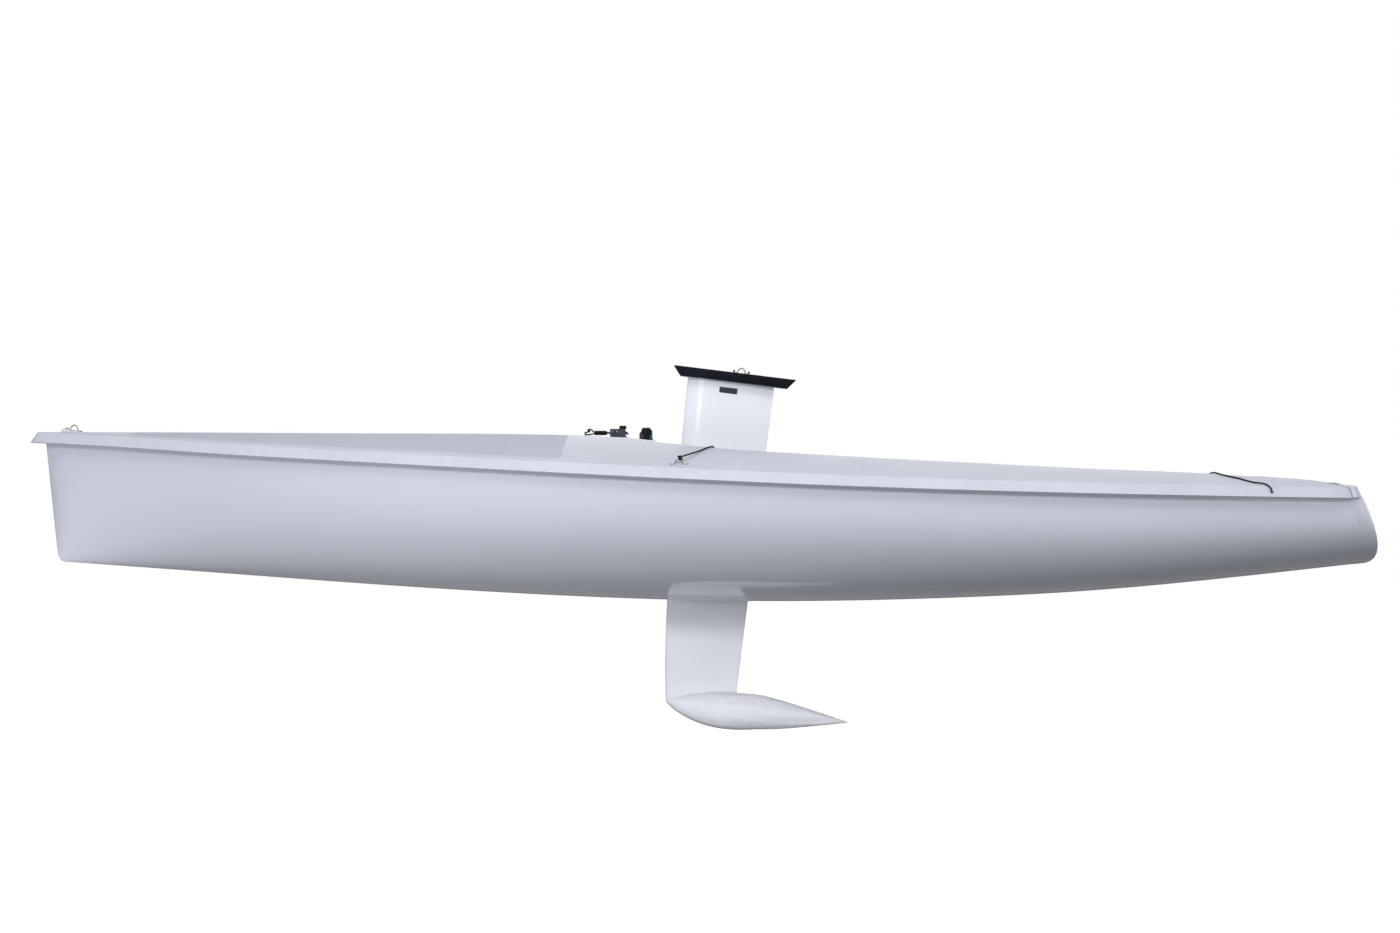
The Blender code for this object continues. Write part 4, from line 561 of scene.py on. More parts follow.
cockpit = {
    "front": 2.70, "start": 2.74, "end": 5.30, "aft": 5.34, "corner": 0.33, "narrowest": 0.23, "sideDeck": 0.36,
    "floor": 0.31, "wallFoot": 0.0395, "wallTop": 0.0145, "coamingTop": 0.012, "footRound": 0.030,
    "topRound": 0.028, "wallHeight": 0.37, "sternRoll": 0.021, "rollStart": 5.4511, "camber": 0.008,
}
deckRows = {"gap": 0.045, "endRound": 0.030, "blendFrom": 2.62, "blendTo": 2.80, "spreadFrom": 0.72,
            "turn": (0, 14, 28, 42, 56, 70, 90)}
deckColumns = {"floor": 9, "wall": 3, "arc": 6, "side": 18}
# non-slip panels: from, to, half of the gap between them and inset from the rim
panels = {"lift": 0.004, "floor": ((3.34, 5.22, 0.02, 0.12),),
          "deck": ((0.42, 2.33, 0.03, 0.05), (5.395, 5.545, 0.03, 0.02))}


def coamingHalf(x):
    full = lipHalf(x) - cockpit["sideDeck"]
    run = (cockpit["start"] + cockpit["corner"] - x) / cockpit["corner"]
    if run <= 0:
        return full
    return cockpit["narrowest"] + (full - cockpit["narrowest"]) * math.sqrt(max(0.0, 1 - min(run, 1.0) ** 2))


def foreHeight(x, y):
    crease, crest = lipHalf(x) - band["out"], crestLine(x / deckLength)
    return crest - (crest - sheerHeight(x)) * (abs(y) / crease) ** 2.2


def aftHeight(x, y):
    crease = lipHalf(x) - band["out"]
    roll = max(0.0, x - cockpit["rollStart"]) / (deckLength - cockpit["rollStart"])
    crest = coamingLine(x / deckLength) - cockpit["sternRoll"] * roll ** 2
    shoulder = coamingHalf(max(x, cockpit["start"])) + cockpit["coamingTop"]
    if abs(y) > shoulder:
        power = 1.3 + 0.7 * (1 - easeStep((x - cockpit["start"]) / 0.6))
        return crest - (crest - sheerHeight(x)) * ((abs(y) - shoulder) / (crease - shoulder)) ** power
    camber = cockpit["camber"] * (1 - (y / shoulder) ** 2) * (deckLength - x) / 0.27
    return crest + (camber if x > cockpit["end"] else 0.0)


def deckTop(x, y):
    share = easeStep((x - deckRows["blendFrom"]) / (deckRows["blendTo"] - deckRows["blendFrom"]))
    height = 0.0
    if share < 1:
        height += (1 - share) * foreHeight(x, y)
    if share > 0:
        height += share * aftHeight(x, y)
    return height


def roundCorner(before, corner, after, radius, steps):
    # an arc in place of the corner between two straight runs, with its ends
    before, corner, after = Vector(before), Vector(corner), Vector(after)
    a, b = (before - corner).normalized(), (after - corner).normalized()
    half = math.acos(max(-1.0, min(1.0, a.dot(b)))) / 2
    middle = corner + (a + b).normalized() * radius / math.sin(half)
    start, end = (corner + leg * radius / math.tan(half) - middle for leg in (a, b))
    whole = math.atan2(start.x * end.y - start.y * end.x, start.dot(end))
    out = []
    for i in range(steps + 1):
        c, s = math.cos(whole * i / steps), math.sin(whole * i / steps)
        out.append((middle.x + start.x * c - start.y * s, middle.y + start.x * s + start.y * c))
    return out


def wellSection(x):
    # cockpit floor, wall and coaming top as (y, height) pairs, then the side deck out to the crease
    inner, arc = coamingHalf(max(x, cockpit["start"])), deckColumns["arc"]
    crest, floor = deckTop(x, inner + cockpit["coamingTop"]), cockpit["floor"]
    foot, top = (inner - cockpit["wallFoot"], floor), (inner - cockpit["wallTop"], crest)
    low = roundCorner((0, floor), foot, top, cockpit["footRound"], arc)
    high = roundCorner(foot, top, (top[0] + 0.2, crest), cockpit["topRound"], arc)
    out = [(low[0][0] * i / deckColumns["floor"], floor) for i in range(deckColumns["floor"])] + low
    out += [partWay(low[-1], high[0], i / (deckColumns["wall"] + 1)) for i in range(1, deckColumns["wall"] + 1)]
    start, crease, count = high[-1][0], lipHalf(x) - band["out"] - bandReach, deckColumns["side"]
    return out + high + [(start + (crease - start) * i / count, None) for i in range(1, count + 1)]


def bandPath():
    # from the deck's edge over the crease to the lip, as (outwards, up) from the crease
    arc = roundCorner((-1.0, 0.12), (0, 0), (band["out"], -band["drop"]), band["round"], 6)
    return arc + [(band["out"] * s, -band["drop"] * s) for s in (0.4, 0.7, 1.0)]


bandProfile = bandPath()
bandReach = -bandProfile[0][0]
deckEnds = (-band["front"] + bandReach, deckLength - bandReach)


def edgeHalf(x):
    # half-breadth of the deck's top inside the crease, with round corners in plan at the bow and stern
    half, radius = lipHalf(x) - band["out"] - bandReach, deckRows["endRound"]
    for into in (x - deckEnds[0], deckEnds[1] - x):
        if into < radius:
            half -= radius * (1 - math.sqrt(max(0.0, 1 - ((radius - into) / radius) ** 2)))
    return half


def deckStations():
    # rows along the boat with the share of the cockpit's depth that each has
    height, corner, ends = cockpit["wallHeight"], deckRows["endRound"], deckRows["turn"]

    def wallRun(near, far, before, after, firstRound, lastRound):
        run = roundCorner(before, near, far, firstRound, 7)
        run += [partWay(near, far, share) for share in (0.3, 0.5, 0.7)]
        return run + roundCorner(near, far, after, lastRound, 7)

    def between(start, end):
        count = max(2, round((end - start) / deckRows["gap"]))
        return [start + (end - start) * i / count for i in range(1, count)]

    rounds = (cockpit["topRound"], cockpit["footRound"])
    down = wallRun((cockpit["front"], 0.0), (cockpit["start"], -height), (0, 0), (9, -height), *rounds)
    up = wallRun((cockpit["end"], -height), (cockpit["aft"], 0.0), (0, -height), (9, 0.0), *rounds[::-1])
    turnEnd = cockpit["start"] + cockpit["corner"]
    stations = [(deckEnds[0] + corner * (1 - math.cos(math.radians(d))), 0.0) for d in ends]
    stations += [(x, 0.0) for x in between(deckEnds[0] + corner, down[0][0])]
    stations += [(x, -z / height) for x, z in down]
    stations += [(turnEnd - cockpit["corner"] * math.cos(math.radians(d)), 1.0) for d in range(30, 91, 5)]
    stations += [(x, 1.0) for x in between(turnEnd, up[0][0])]
    stations += [(x, -z / height) for x, z in up]
    stations += [(x, 0.0) for x in between(up[-1][0], deckEnds[1] - corner)]
    return stations + [(deckEnds[1] - corner * math.cos(math.radians(d)), 0.0) for d in ends[::-1]]


def deckRow(x, share):
    section = wellSection(x)
    crease, start = section[-1][0], deckRows["spreadFrom"]
    spread = easeStep((x - start * cockpit["front"]) / ((1 - start) * cockpit["front"]))
    if x > cockpit["front"]:
        spread = 1.0
    row, count = [], len(section) - 1
    for i, (y, low) in enumerate(section):
        y = (crease * (i / count) * (1 - spread) + y * spread) * edgeHalf(x) / crease
        top = deckTop(x, y)
        row.append((x, y, top if low is None or share == 0 else top + (low - top) * share))
    return row


def makeDeck():
    rows = [deckRow(x, share) for x, share in deckStations()]
    rows = [[(x, -y, z) for x, y, z in row[:0:-1]] + row for row in rows]
    width = len(rows[0])
    points = [p for row in rows for p in row]
    faces = []
    for r in range(len(rows) - 1):
        for i in range(width - 1):
            a = r * width + i
            faces.append((a, a + width, a + width + 1, a + 1))
    # the band runs down round the deck's outer edge
    last = (len(rows) - 1) * width
    loop = list(range(width)) + [r * width + width - 1 for r in range(1, len(rows))]
    loop += list(range(last + width - 2, last - 1, -1)) + [r * width for r in range(len(rows) - 2, 0, -1)]
    plan = [Vector(points[i][:2]) for i in loop]
    rings = [loop]
    for out, up in bandProfile[1:]:
        ring = []
        for k, i in enumerate(loop):
            run = (plan[(k + 1) % len(loop)] - plan[k - 1]).normalized()
            side = Vector((-run.y, run.x))
            if side.dot(plan[k] - Vector((deckLength / 2, 0))) < 0:
                side = -side
            aft = max(0.0, side.x) ** 2
            reach = bandReach + out
            if out > 0:
                reach = bandReach + out * (1 - (1 - band["back"] / band["out"]) * aft)
            rise = up - bandProfile[0][1] + band["backLift"] * aft * max(0.0, out / band["out"])
            x, y, z = points[i]
            points.append((x + side.x * reach, y + side.y * reach, z + rise))
            ring.append(len(points) - 1)
        rings.append(ring)
    skin = meshPiece("deckSkin", points, faces + bridgeRings(rings))
    turnOut(skin, 0.00001)
    if sum(f.normal.z * f.area for f in skin.data.polygons) < 0:
        skin.data.flip_normals()
    addModifier(skin, "SOLIDIFY", thickness=band["thick"], offset=-1, use_quality_normals=True)
    return skin


def pickOnly(thing):
    bpy.ops.object.select_all(action="DESELECT")
    thing.select_set(True)
    bpy.context.view_layer.objects.active = thing


def addModifier(thing, kind, **values):
    # a modifier made with its values and applied at once
    pickOnly(thing)
    step = thing.modifiers.new(kind.lower(), kind)
    for name, value in values.items():
        setattr(step, name, value)
    bpy.ops.object.modifier_apply(modifier=step.name)


def cutAway(thing, *tools):
    for tool in tools:
        addModifier(thing, "BOOLEAN", operation="DIFFERENCE", solver="EXACT", object=tool)
        bpy.data.objects.remove(tool)


def joinTo(thing, *others):
    for other in others:
        addModifier(thing, "BOOLEAN", operation="UNION", solver="EXACT", object=other)
        bpy.data.objects.remove(other)


def finishPiece(piece, name, body, look, nodes=(), angle=35):
    # name, finish, smoothing, body and the CAD nodes that the piece stands for
    piece.name = piece.data.name = name
    piece.data.materials.clear()
    piece.data.materials.append(looks[look])
    pickOnly(piece)
    bpy.ops.object.shade_smooth_by_angle(angle=math.radians(angle))
    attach(piece, body)
    if nodes:
        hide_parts(*nodes)


def shipPoint(x, y, z):
    return Vector((x, y, z)) + shipShift


def shipPlace(x, y, z, tilt=0.0):
    return Matrix.Translation(shipPoint(x, y, z)) @ Matrix.Rotation(tilt, 4, "Y")


def moved(place, x, y, z, turn=0.0):
    # a place shifted along its own axes, then turned about its own upright
    return place @ Matrix.Translation((x, y, z)) @ Matrix.Rotation(turn, 4, "Z")


keel = {"x": 3.0486, "z": 0.9636, "rake": math.radians(7.0)}
keelPlace = shipPlace(keel["x"], 0, keel["z"], keel["rake"])
trunk = {"front": -0.215, "back": 0.190, "half": 0.033, "wall": 0.010, "down": 0.31, "case": 0.70, "foot": 0.011,
         "flange": (0.490, 0.150, 0.018), "hullCut": 0.30, "deckCut": 0.2}


def addBlock(size, centre, place=None):
    # a block at its size and place, with the place in its mesh
    bpy.ops.object.select_all(action="DESELECT")
    bpy.ops.mesh.primitive_cube_add(size=1)
    block = bpy.context.active_object
    block.matrix_world = (place or Matrix.Identity(4)) @ Matrix.Translation(centre) @ Matrix.Diagonal((*size, 1.0))
    bpy.ops.object.transform_apply(location=True, rotation=True, scale=True)
    return block


def addRod(radius, depth, centre, sides=32, place=None, along="Z", topRadius=None):
    # a round bar or cone along one axis, with the place in its mesh
    bpy.ops.object.select_all(action="DESELECT")
    high = radius if topRadius is None else topRadius
    bpy.ops.mesh.primitive_cone_add(vertices=sides, radius1=radius, radius2=high, depth=depth)
    rod = bpy.context.active_object
    turn = Matrix.Identity(4)
    if along == "X":
        turn = Matrix.Rotation(math.pi / 2, 4, "Y")
    if along == "Y":
        turn = Matrix.Rotation(-math.pi / 2, 4, "X")
    rod.matrix_world = (place or Matrix.Identity(4)) @ Matrix.Translation(centre) @ turn
    bpy.ops.object.transform_apply(location=True, rotation=True, scale=True)
    return rod


drain = {"out": 0.32, "height": 0.342, "radius": 0.022, "proud": 0.004, "wall": 0.003, "clear": 0.0004,
         "hullCut": (5.75, 0.5), "deckCut": (5.32, 0.15)}


def slotBlock(grow, depth):
    # size and middle of the keel's slot, grown by a wall all round
    size = (trunk["back"] - trunk["front"] + 2 * grow, 2 * (trunk["half"] + grow), depth)
    return size, (trunk["front"] + trunk["back"]) / 2


def cutMouldings():
    # the keel's slot and the drains' holes, through the hull and through the cockpit's floor and end
    floor = (cockpit["floor"] - keel["z"]) / math.cos(keel["rake"])
    cuts = ((hullSkin, 0.0, trunk["hullCut"], -keel["z"], drain["hullCut"]),
            (deckSkin, trunk["wall"], trunk["deckCut"], floor, drain["deckCut"]))
    for moulding, grow, depth, height, (x, length) in cuts:
        size, middle = slotBlock(grow, depth)
        tools = [addBlock(size, (middle, 0, height), keelPlace)]
        for side, _ in bothSides:
            centre = shipPoint(x, side * drain["out"], drain["height"])
            tools.append(addRod(drain["radius"] + drain["clear"], length, centre, 40, along="X"))
        cutAway(moulding, *tools)


def panelDistance(x, y, z):
    # how far inside a non-slip panel a point of the deck lies, less than nothing outside
    inner, crease = coamingHalf(max(x, cockpit["start"])), lipHalf(x) - band["out"]
    onFloor = z < cockpit["floor"] + panels["lift"]
    rims, spots = ((inner,), panels["floor"]) if onFloor else ((crease, inner), panels["deck"])
    return max(min(x - front, back - x, abs(y) - gap, rim - inset - abs(y))
               for rim, (front, back, gap, inset) in zip(rims, spots))


def markPanels():
    edge = deckSkin.data.attributes.new("panelEdge", "FLOAT", "POINT")
    edge.data.foreach_set("value", [panelDistance(*(vertex.co - shipShift)) for vertex in deckSkin.data.vertices])


deckSkin = makeDeck()
cutMouldings()
markPanels()
finishPiece(hullSkin, "hullSkin", "hull", "gelcoat", ["hull_shell"], 30)
finishPiece(deckSkin, "deckSkin", "hull", "deck", ["deck_moulding"], 40)
print("stage: deck lofted,", len(deckSkin.data.polygons), "faces")

# Lifting keel: fin and bulb, drawn from the top of the fin down

fin = {
    "tail": 0.180,
    "depths": (0.0, 0.3, 0.48, 0.6, 0.78, 0.96, 1.13, 1.25, 1.4354),
    "noses": (-0.205, -0.1966, -0.1915, -0.188, -0.183, -0.178, -0.165, -0.153, -0.1283),
    "thickness": 0.12, "tailGap": 0.003, "rows": 60, "sideSteps": 34, "start": 0.0003, "fairing": 0.035,
    "fairingOut": 0.010,
}
bulb = {"length": 0.818, "radius": 0.0855, "nose": -0.128, "depth": 1.4324, "droop": 0.0125, "rings": 72, "round": 64,
        "bolts": (0.012, 0.075), "boltSeat": 0.030, "boltBore": 0.0084, "boltRadius": 0.005, "boltLength": 0.18,
        "tip": 0.0012, "full": 1.02, "fullest": 0.75, "blunt": 0.85, "taper": 0.35, "droopEnd": 0.5}
noseLine = smoothLine(fin["depths"], fin["noses"])


def foilHalf(share):
    curve = 0.2969 * math.sqrt(share) - 0.1260 * share - 0.3516 * share ** 2 + 0.2843 * share ** 3
    return 5 * fin["thickness"] * (curve - 0.1036 * share ** 4) + fin["tailGap"] * share


def bulbRadius(share):
    swell = math.sin(math.pi * share ** bulb["fullest"]) ** bulb["blunt"]
    return bulb["radius"] * bulb["full"] * swell * (1 - bulb["taper"] * share ** 3)


def bulbMiddle(share):
    return -bulb["depth"] - bulb["droop"] * math.sin(math.pi * min(1.0, share / bulb["droopEnd"]))


def makeFin():
    rings, steps = [], fin["sideSteps"]
    shares = [(1 - math.cos(math.pi * i / steps)) / 2 for i in range(steps + 1)]
    for r in range(fin["rows"] + 1):
        depth = fin["start"] + (fin["depths"][-1] - fin["start"]) * (r / fin["rows"]) ** 0.8
        nose = noseLine(depth)
        chord, ring = fin["tail"] - nose, []
        for side, row in ((-1, shares), (1, shares[:0:-1])):
            for share in row:
                x, half = nose + chord * share, chord * foilHalf(share)
                along = (x - bulb["nose"]) / bulb["length"]
                if 0.001 < along < 0.999:
                    # the foot spreads into the bulb
                    gap = max(0.0, -bulbMiddle(along) - bulbRadius(along) - depth)
                    half += fin["fairingOut"] * max(0.0, 1 - gap / fin["fairing"]) ** 2 * min(1.0, 6 * share)
                ring.append(keelPlace @ Vector((x, side * half, -depth)))
        rings.append(ring)
    finishPiece(turnOut(loftPiece("finSkin", rings)), "finSkin", "keel", "paint", ["keel_fin"], 40)


def makeBulb():
    rings, angles = [], [2 * math.pi * i / bulb["round"] for i in range(bulb["round"])]
    for r in range(bulb["rings"]):
        share = 0.0004 + 0.9992 * (1 - math.cos(math.pi * (r + 0.02) / (bulb["rings"] - 0.96))) / 2
        radius, x = max(bulbRadius(share), bulb["tip"]), bulb["nose"] + share * bulb["length"]
        rings.append([keelPlace @ Vector((x, radius * math.cos(a), bulbMiddle(share) + radius * math.sin(a)))
                      for a in angles])
    piece = turnOut(loftPiece("bulbSkin", rings))
    bottom = -bulb["depth"] - bulb["radius"]
    for x in bulb["bolts"]:
        cutAway(piece, addRod(bulb["boltBore"], 0.08, (x, 0, bottom + bulb["boltSeat"] - 0.04), 40, keelPlace))
    finishPiece(piece, "bulbSkin", "keel", "paint", ["keel_bulb"], 40)


makeFin()
makeBulb()
print("stage: fin and bulb made")

# Helpers for the fittings, which are drawn about their own origins and then settled in place

seatGap = 0.0003


def pickParts(thing, kind, test):
    # the faces or edges whose corners pass a test, selected in edit mode
    pickOnly(thing)
    bpy.ops.object.mode_set(mode="EDIT")
    bpy.ops.mesh.select_mode(type=kind)
    bpy.ops.mesh.select_all(action="DESELECT")
    bpy.ops.object.mode_set(mode="OBJECT")
    for part in thing.data.polygons if kind == "FACE" else thing.data.edges:
        part.select = test([thing.data.vertices[i].co for i in part.vertices])
    bpy.ops.object.mode_set(mode="EDIT")


def roundEdges(thing, width, steps, test):
    pickParts(thing, "EDGE", test)
    bpy.ops.mesh.bevel(offset=width, segments=steps, affect="EDGES", clamp_overlap=True)
    bpy.ops.object.mode_set(mode="OBJECT")
    return thing


def upright(corners):
    return abs(corners[0].z - corners[1].z) > 0.9 * (corners[0] - corners[1]).length


def atHeight(z):
    return lambda corners: all(abs(corner.z - z) < 1e-5 for corner in corners)


def anyPart(corners):
    return True


def addPlate(length, width, low, high, corner, edge, steps=5):
    # a flat plate with round corners and a softened top edge
    plate = addBlock((length, width, high - low), (0, 0, (low + high) / 2))
    roundEdges(plate, corner, steps, upright)
    return roundEdges(plate, edge, 3, atHeight(high))


def addTurned(steps, sides=32):
    # a turned piece drawn up from a disc through its (radius, height) steps
    bpy.ops.object.select_all(action="DESELECT")
    bpy.ops.mesh.primitive_circle_add(vertices=sides, radius=steps[0][0], fill_type="NGON")
    piece = bpy.context.active_object
    piece.location.z = steps[0][1]
    bpy.ops.object.transform_apply(location=True)
    bpy.ops.object.mode_set(mode="EDIT")
    bpy.ops.mesh.select_mode(type="FACE")
    bpy.ops.mesh.select_all(action="SELECT")
    for (r0, z0), (r1, z1) in zip(steps, steps[1:]):
        bpy.ops.mesh.extrude_region_move(TRANSFORM_OT_translate={"value": (0, 0, z1 - z0)})
        bpy.ops.transform.resize(value=(r1 / r0, r1 / r0, 1), center_override=(0, 0, 0))
    bpy.ops.mesh.select_all(action="SELECT")
    bpy.ops.mesh.normals_make_consistent(inside=False)
    bpy.ops.object.mode_set(mode="OBJECT")
    return piece


def settle(piece, place):
    pickOnly(piece)
    piece.matrix_world = place
    bpy.ops.object.transform_apply(location=True, rotation=True, scale=True)
    return piece


def turnTo(axis):
    # the turn that lays a piece drawn along Z on another axis
    return Vector((0, 0, 1)).rotation_difference(Vector(axis)).to_matrix().to_4x4()


def copyPiece(master, place):
    copy = master.copy()
    copy.data = master.data.copy()
    bpy.context.scene.collection.objects.link(copy)
    return settle(copy, place)


def joinPieces(first, *others):
    pickOnly(first)
    for other in others:
        other.select_set(True)
    bpy.ops.object.join()
    return first


def smoothRoute(route, spacing):
    # even points along a smooth curve through a route's own points
    route, marks = [Vector(p) for p in route], [0.0]
    for near, far in zip(route, route[1:]):
        marks.append(marks[-1] + (far - near).length)
    curves = [smoothLine(marks, [p[i] for p in route]) for i in range(3)]
    count = max(2, round(marks[-1] / spacing))
    return [Vector([curve(marks[-1] * i / count) for curve in curves]) for i in range(count + 1)]


def sweepTube(name, path, radius, sides=12, shift=noShift):
    # a tube with round ends and a map that holds its share of a turn and its metres along
    last, angles = len(path) - 1, [2 * math.pi * k / sides for k in range(sides)]
    start = [(0, 0.25, -0.9), (0, 0.8, -0.55)]
    end = [(last, share, -past) for _, share, past in start[::-1]]
    side, middles, rings = (path[1] - path[0]).orthogonal().normalized(), [], []
    for i, share, past in start + [(i, 1.0, 0.0) for i in range(last + 1)] + end:
        ahead = (path[min(i + 1, last)] - path[max(i - 1, 0)]).normalized()
        side = (side - ahead * side.dot(ahead)).normalized()
        other = ahead.cross(side)
        middles.append(path[i] + ahead * past * radius)
        rings.append([middles[-1] + (side * math.cos(a) + other * math.sin(a)) * radius * share for a in angles])
    tube, run, spots = loftPiece(name, rings, shift), 0.0, []
    for near, far in zip(middles, middles[1:]):
        past = run + (far - near).length
        for k in range(sides):
            spots += [k / sides, run, (k + 1) / sides, run, (k + 1) / sides, past, k / sides, past]
        run = past
    strand = tube.data.uv_layers.new(name="strandMap")
    strand.data.foreach_set("uv", spots + [0.0] * 4 * sides)
    return tube


def knotPath(size, turns=(2, 3), steps=44):
    # a round knot: a cord that runs twice round while it weaves in and out three times
    path = []
    for i in range(steps):
        t = 2 * math.pi * i / (steps - 1) * 0.97
        reach = size * (0.62 + 0.38 * math.cos(turns[1] * t))
        x, y = (reach * wind(turns[0] * t) for wind in (math.cos, math.sin))
        path.append(Vector((x, y, 0.45 * size * math.sin(turns[1] * t))))
    return path


# Screws and bolts, each modelled once and copied to its places

panScrew = {"length": 0.0375, "tip": 0.0018, "radius": 0.0025, "slot": (0.0056, 0.0012, 0.0028),
            "head": ((0.0052, 0.0), (0.0052, 0.0011), (0.0048, 0.0019), (0.0038, 0.0025), (0.0022, 0.0028))}


def makePanScrew():
    low, radius = -panScrew["length"], panScrew["radius"]
    screw = addTurned([(panScrew["tip"], low), (radius, low + 0.001), (radius, 0.0), *panScrew["head"]], 28)
    for turn in (0, math.pi / 2):
        tool = addBlock(panScrew["slot"], (0, 0, panScrew["head"][-1][1]))
        cutAway(screw, settle(tool, Matrix.Rotation(turn, 4, "Z")))
    return screw


def makeSocketBolt(radius, length):
    head, rise = radius * 1.6, radius * 2
    steps = [(radius * 0.8, -length), (radius, -length + 0.002), (radius, 0.0), (head, 0.0), (head, rise - 0.0012),
             (head - 0.0012, rise)]
    bolt = addTurned(steps, 40)
    cutAway(bolt, addRod(head * 0.55, rise * 1.2, (0, 0, rise), 6))
    return bolt


def makeHexBolt(radius, length, across, rise):
    bolt = addTurned([(radius * 0.8, -length), (radius, -length + 0.002), (radius, 0.0)], 24)
    washer = addTurned([(across * 0.62, 0.0), (across * 0.62, 0.0009), (across * 0.58, 0.0012)], 40)
    head = addTurned([(across * 0.56, 0.0012), (across * 0.577, rise * 0.8), (across * 0.5, rise)], 6)
    return joinPieces(bolt, washer, head)


masterScrew = makePanScrew()


def placeScrew(name, place, scale=1.0, look="steel", body="hull", nodes=()):
    finishPiece(copyPiece(masterScrew, place @ Matrix.Scale(scale, 4)), name, body, look, nodes)


def placeBolts(name, node, radius, length, places):
    master = makeSocketBolt(radius, length)
    for number, place in enumerate(places, 1):
        finishPiece(copyPiece(master, place), "%s.%d" % (name, number), "keel", "steel", ["%s_%d" % (node, number)])
    bpy.data.objects.remove(master)


# Pad eyes: a wire bail welded on a small base plate

padEye = {"length": 0.078, "width": 0.022, "base": 0.004, "corner": 0.0085, "screws": 0.065, "wire": 0.003,
          "feet": 0.018, "waist": (0.0235, 0.05, 0.01), "waistHeight": 0.0071,
          "bail": ((0.018, 0.001), (0.0178, 0.006), (0.0135, 0.0145), (0.0085, 0.0214), (0.0, 0.0247)),
          "foot": ((0.0052, 0.0035), (0.0046, 0.0050), (0.0034, 0.0062)),
          "stud": ((0.0052, 0.0031), (0.0052, 0.0060), (0.0044, 0.0078), (0.0024, 0.0088))}
bowEye = {"x": 0.127, "z": 0.750, "tilt": math.radians(12.0)}
chainEye = {"x": 2.812, "in": 0.072, "z": 0.5965}
headEye = {"x": 0.028}
chainOut = lipHalf(chainEye["x"]) - chainEye["in"]
bowPlace = shipPlace(bowEye["x"], 0, bowEye["z"], bowEye["tilt"])
chainPlaces = [shipPlace(chainEye["x"], side * chainOut, chainEye["z"]) for side, _ in bothSides]


def makePadEye():
    eye = addPlate(padEye["length"], padEye["width"], seatGap, padEye["base"], padEye["corner"], 0.0012, 7)
    cutAway(eye, addBlock(padEye["waist"], (0, 0, padEye["waistHeight"])))
    half = [(-x, 0, z) for x, z in padEye["bail"]]
    route = half + [(-x, 0, z) for x, _, z in half[-2::-1]]
    bail = sweepTube("bail", smoothRoute(route, 0.0022), padEye["wire"], 14)
    feet = [settle(addTurned(padEye["foot"], 24), Matrix.Translation((side * padEye["feet"], 0, 0)))
            for side, _ in bothSides]
    return joinPieces(eye, bail, *feet)


def placeEyes():
    master = makePadEye()
    spots = [("bowPadEye", bowPlace, "hull", "bow_pad_eye", "bow_eye_screw")]
    for (_, label), place in zip(bothSides, chainPlaces):
        spots.append(("chainEye." + label, place, "hull", "chain_eye_" + label, "chain_screw_" + label))
    spots.append(("liftingEye", moved(keelPlace, headEye["x"], 0, headPlate["thick"]), "keel", "lifting_eye", None))
    for name, place, body, node, screws in spots:
        finishPiece(copyPiece(master, place), name, body, "steel", [node])
        for side, end in ((-1, "fore"), (1, "aft")):
            spot = moved(place, side * padEye["screws"] / 2, 0, padEye["base"], 0.3 + side)
            nodes = [screws + "_" + end] if screws else []
            placeScrew(name + ".screw." + end, spot, 1.0, "dullSteel", body, nodes)
            if not screws:
                finishPiece(settle(addTurned(padEye["stud"], 28), spot), name + ".cap." + end, body, "blackCoat")
    bpy.data.objects.remove(master)


# Head plate, its bolts and the bare data plate below it

headPlate = {"low": (0.477, 0.124), "high": (0.544, 0.150), "thick": 0.0417, "edge": 0.0037,
             "bolts": (-0.150, -0.075, 0.105), "boltRadius": 0.006, "boltLength": 0.10,
             "bore": 0.0099, "boreDepth": 0.0135, "bevel": (0.0110, 0.0122, 0.0012)}
dataPlate = {"front": -0.059, "back": 0.020, "top": 0.027, "bottom": 0.052, "thick": 0.0012, "rim": 0.0016,
             "sink": 0.0004, "rivetIn": 0.0045, "rivet": ((0.0015, 0.0), (0.0014, 0.0004), (0.0008, 0.0008))}


def makeHeadPlate():
    thick = headPlate["thick"]
    plate = addBlock((*headPlate["low"], thick), (0, 0, thick / 2))
    pickParts(plate, "FACE", atHeight(thick))
    grow = [high / low for low, high in zip(headPlate["low"], headPlate["high"])]
    bpy.ops.transform.resize(value=(*grow, 1), center_override=(0, 0, 0))
    bpy.ops.object.mode_set(mode="OBJECT")
    roundEdges(plate, headPlate["edge"], 3, anyPart)
    tools, (low, high, tall) = [], headPlate["bevel"]
    for x in headPlate["bolts"]:
        tools.append(addRod(headPlate["bore"], 0.04, (x, 0, thick - headPlate["boreDepth"] + 0.02), 48))
        tools.append(addRod(low, tall, (x, 0, thick - 0.0005), 48, topRadius=high))
    cutAway(plate, *tools)
    finishPiece(settle(plate, keelPlace), "headPlate", "keel", "blackCoat", ["keel_head_plate"])
    radius = headPlate["boltRadius"]
    places = [moved(keelPlace, x, 0, thick - radius * 2.2, 0.4 * i) for i, x in enumerate(headPlate["bolts"], 1)]
    placeBolts("headBolt", "head_bolt", radius, headPlate["boltLength"], places)
    seat = -bulb["depth"] - bulb["radius"] + bulb["boltSeat"]
    places = [moved(keelPlace, x, 0, seat) @ Matrix.Rotation(math.pi, 4, "X") for x in bulb["bolts"]]
    placeBolts("bulbBolt", "bulb_bolt", bulb["boltRadius"], bulb["boltLength"], places)


def finSide(x, depth):
    nose = noseLine(depth)
    return (fin["tail"] - nose) * foilHalf((x - nose) / (fin["tail"] - nose))


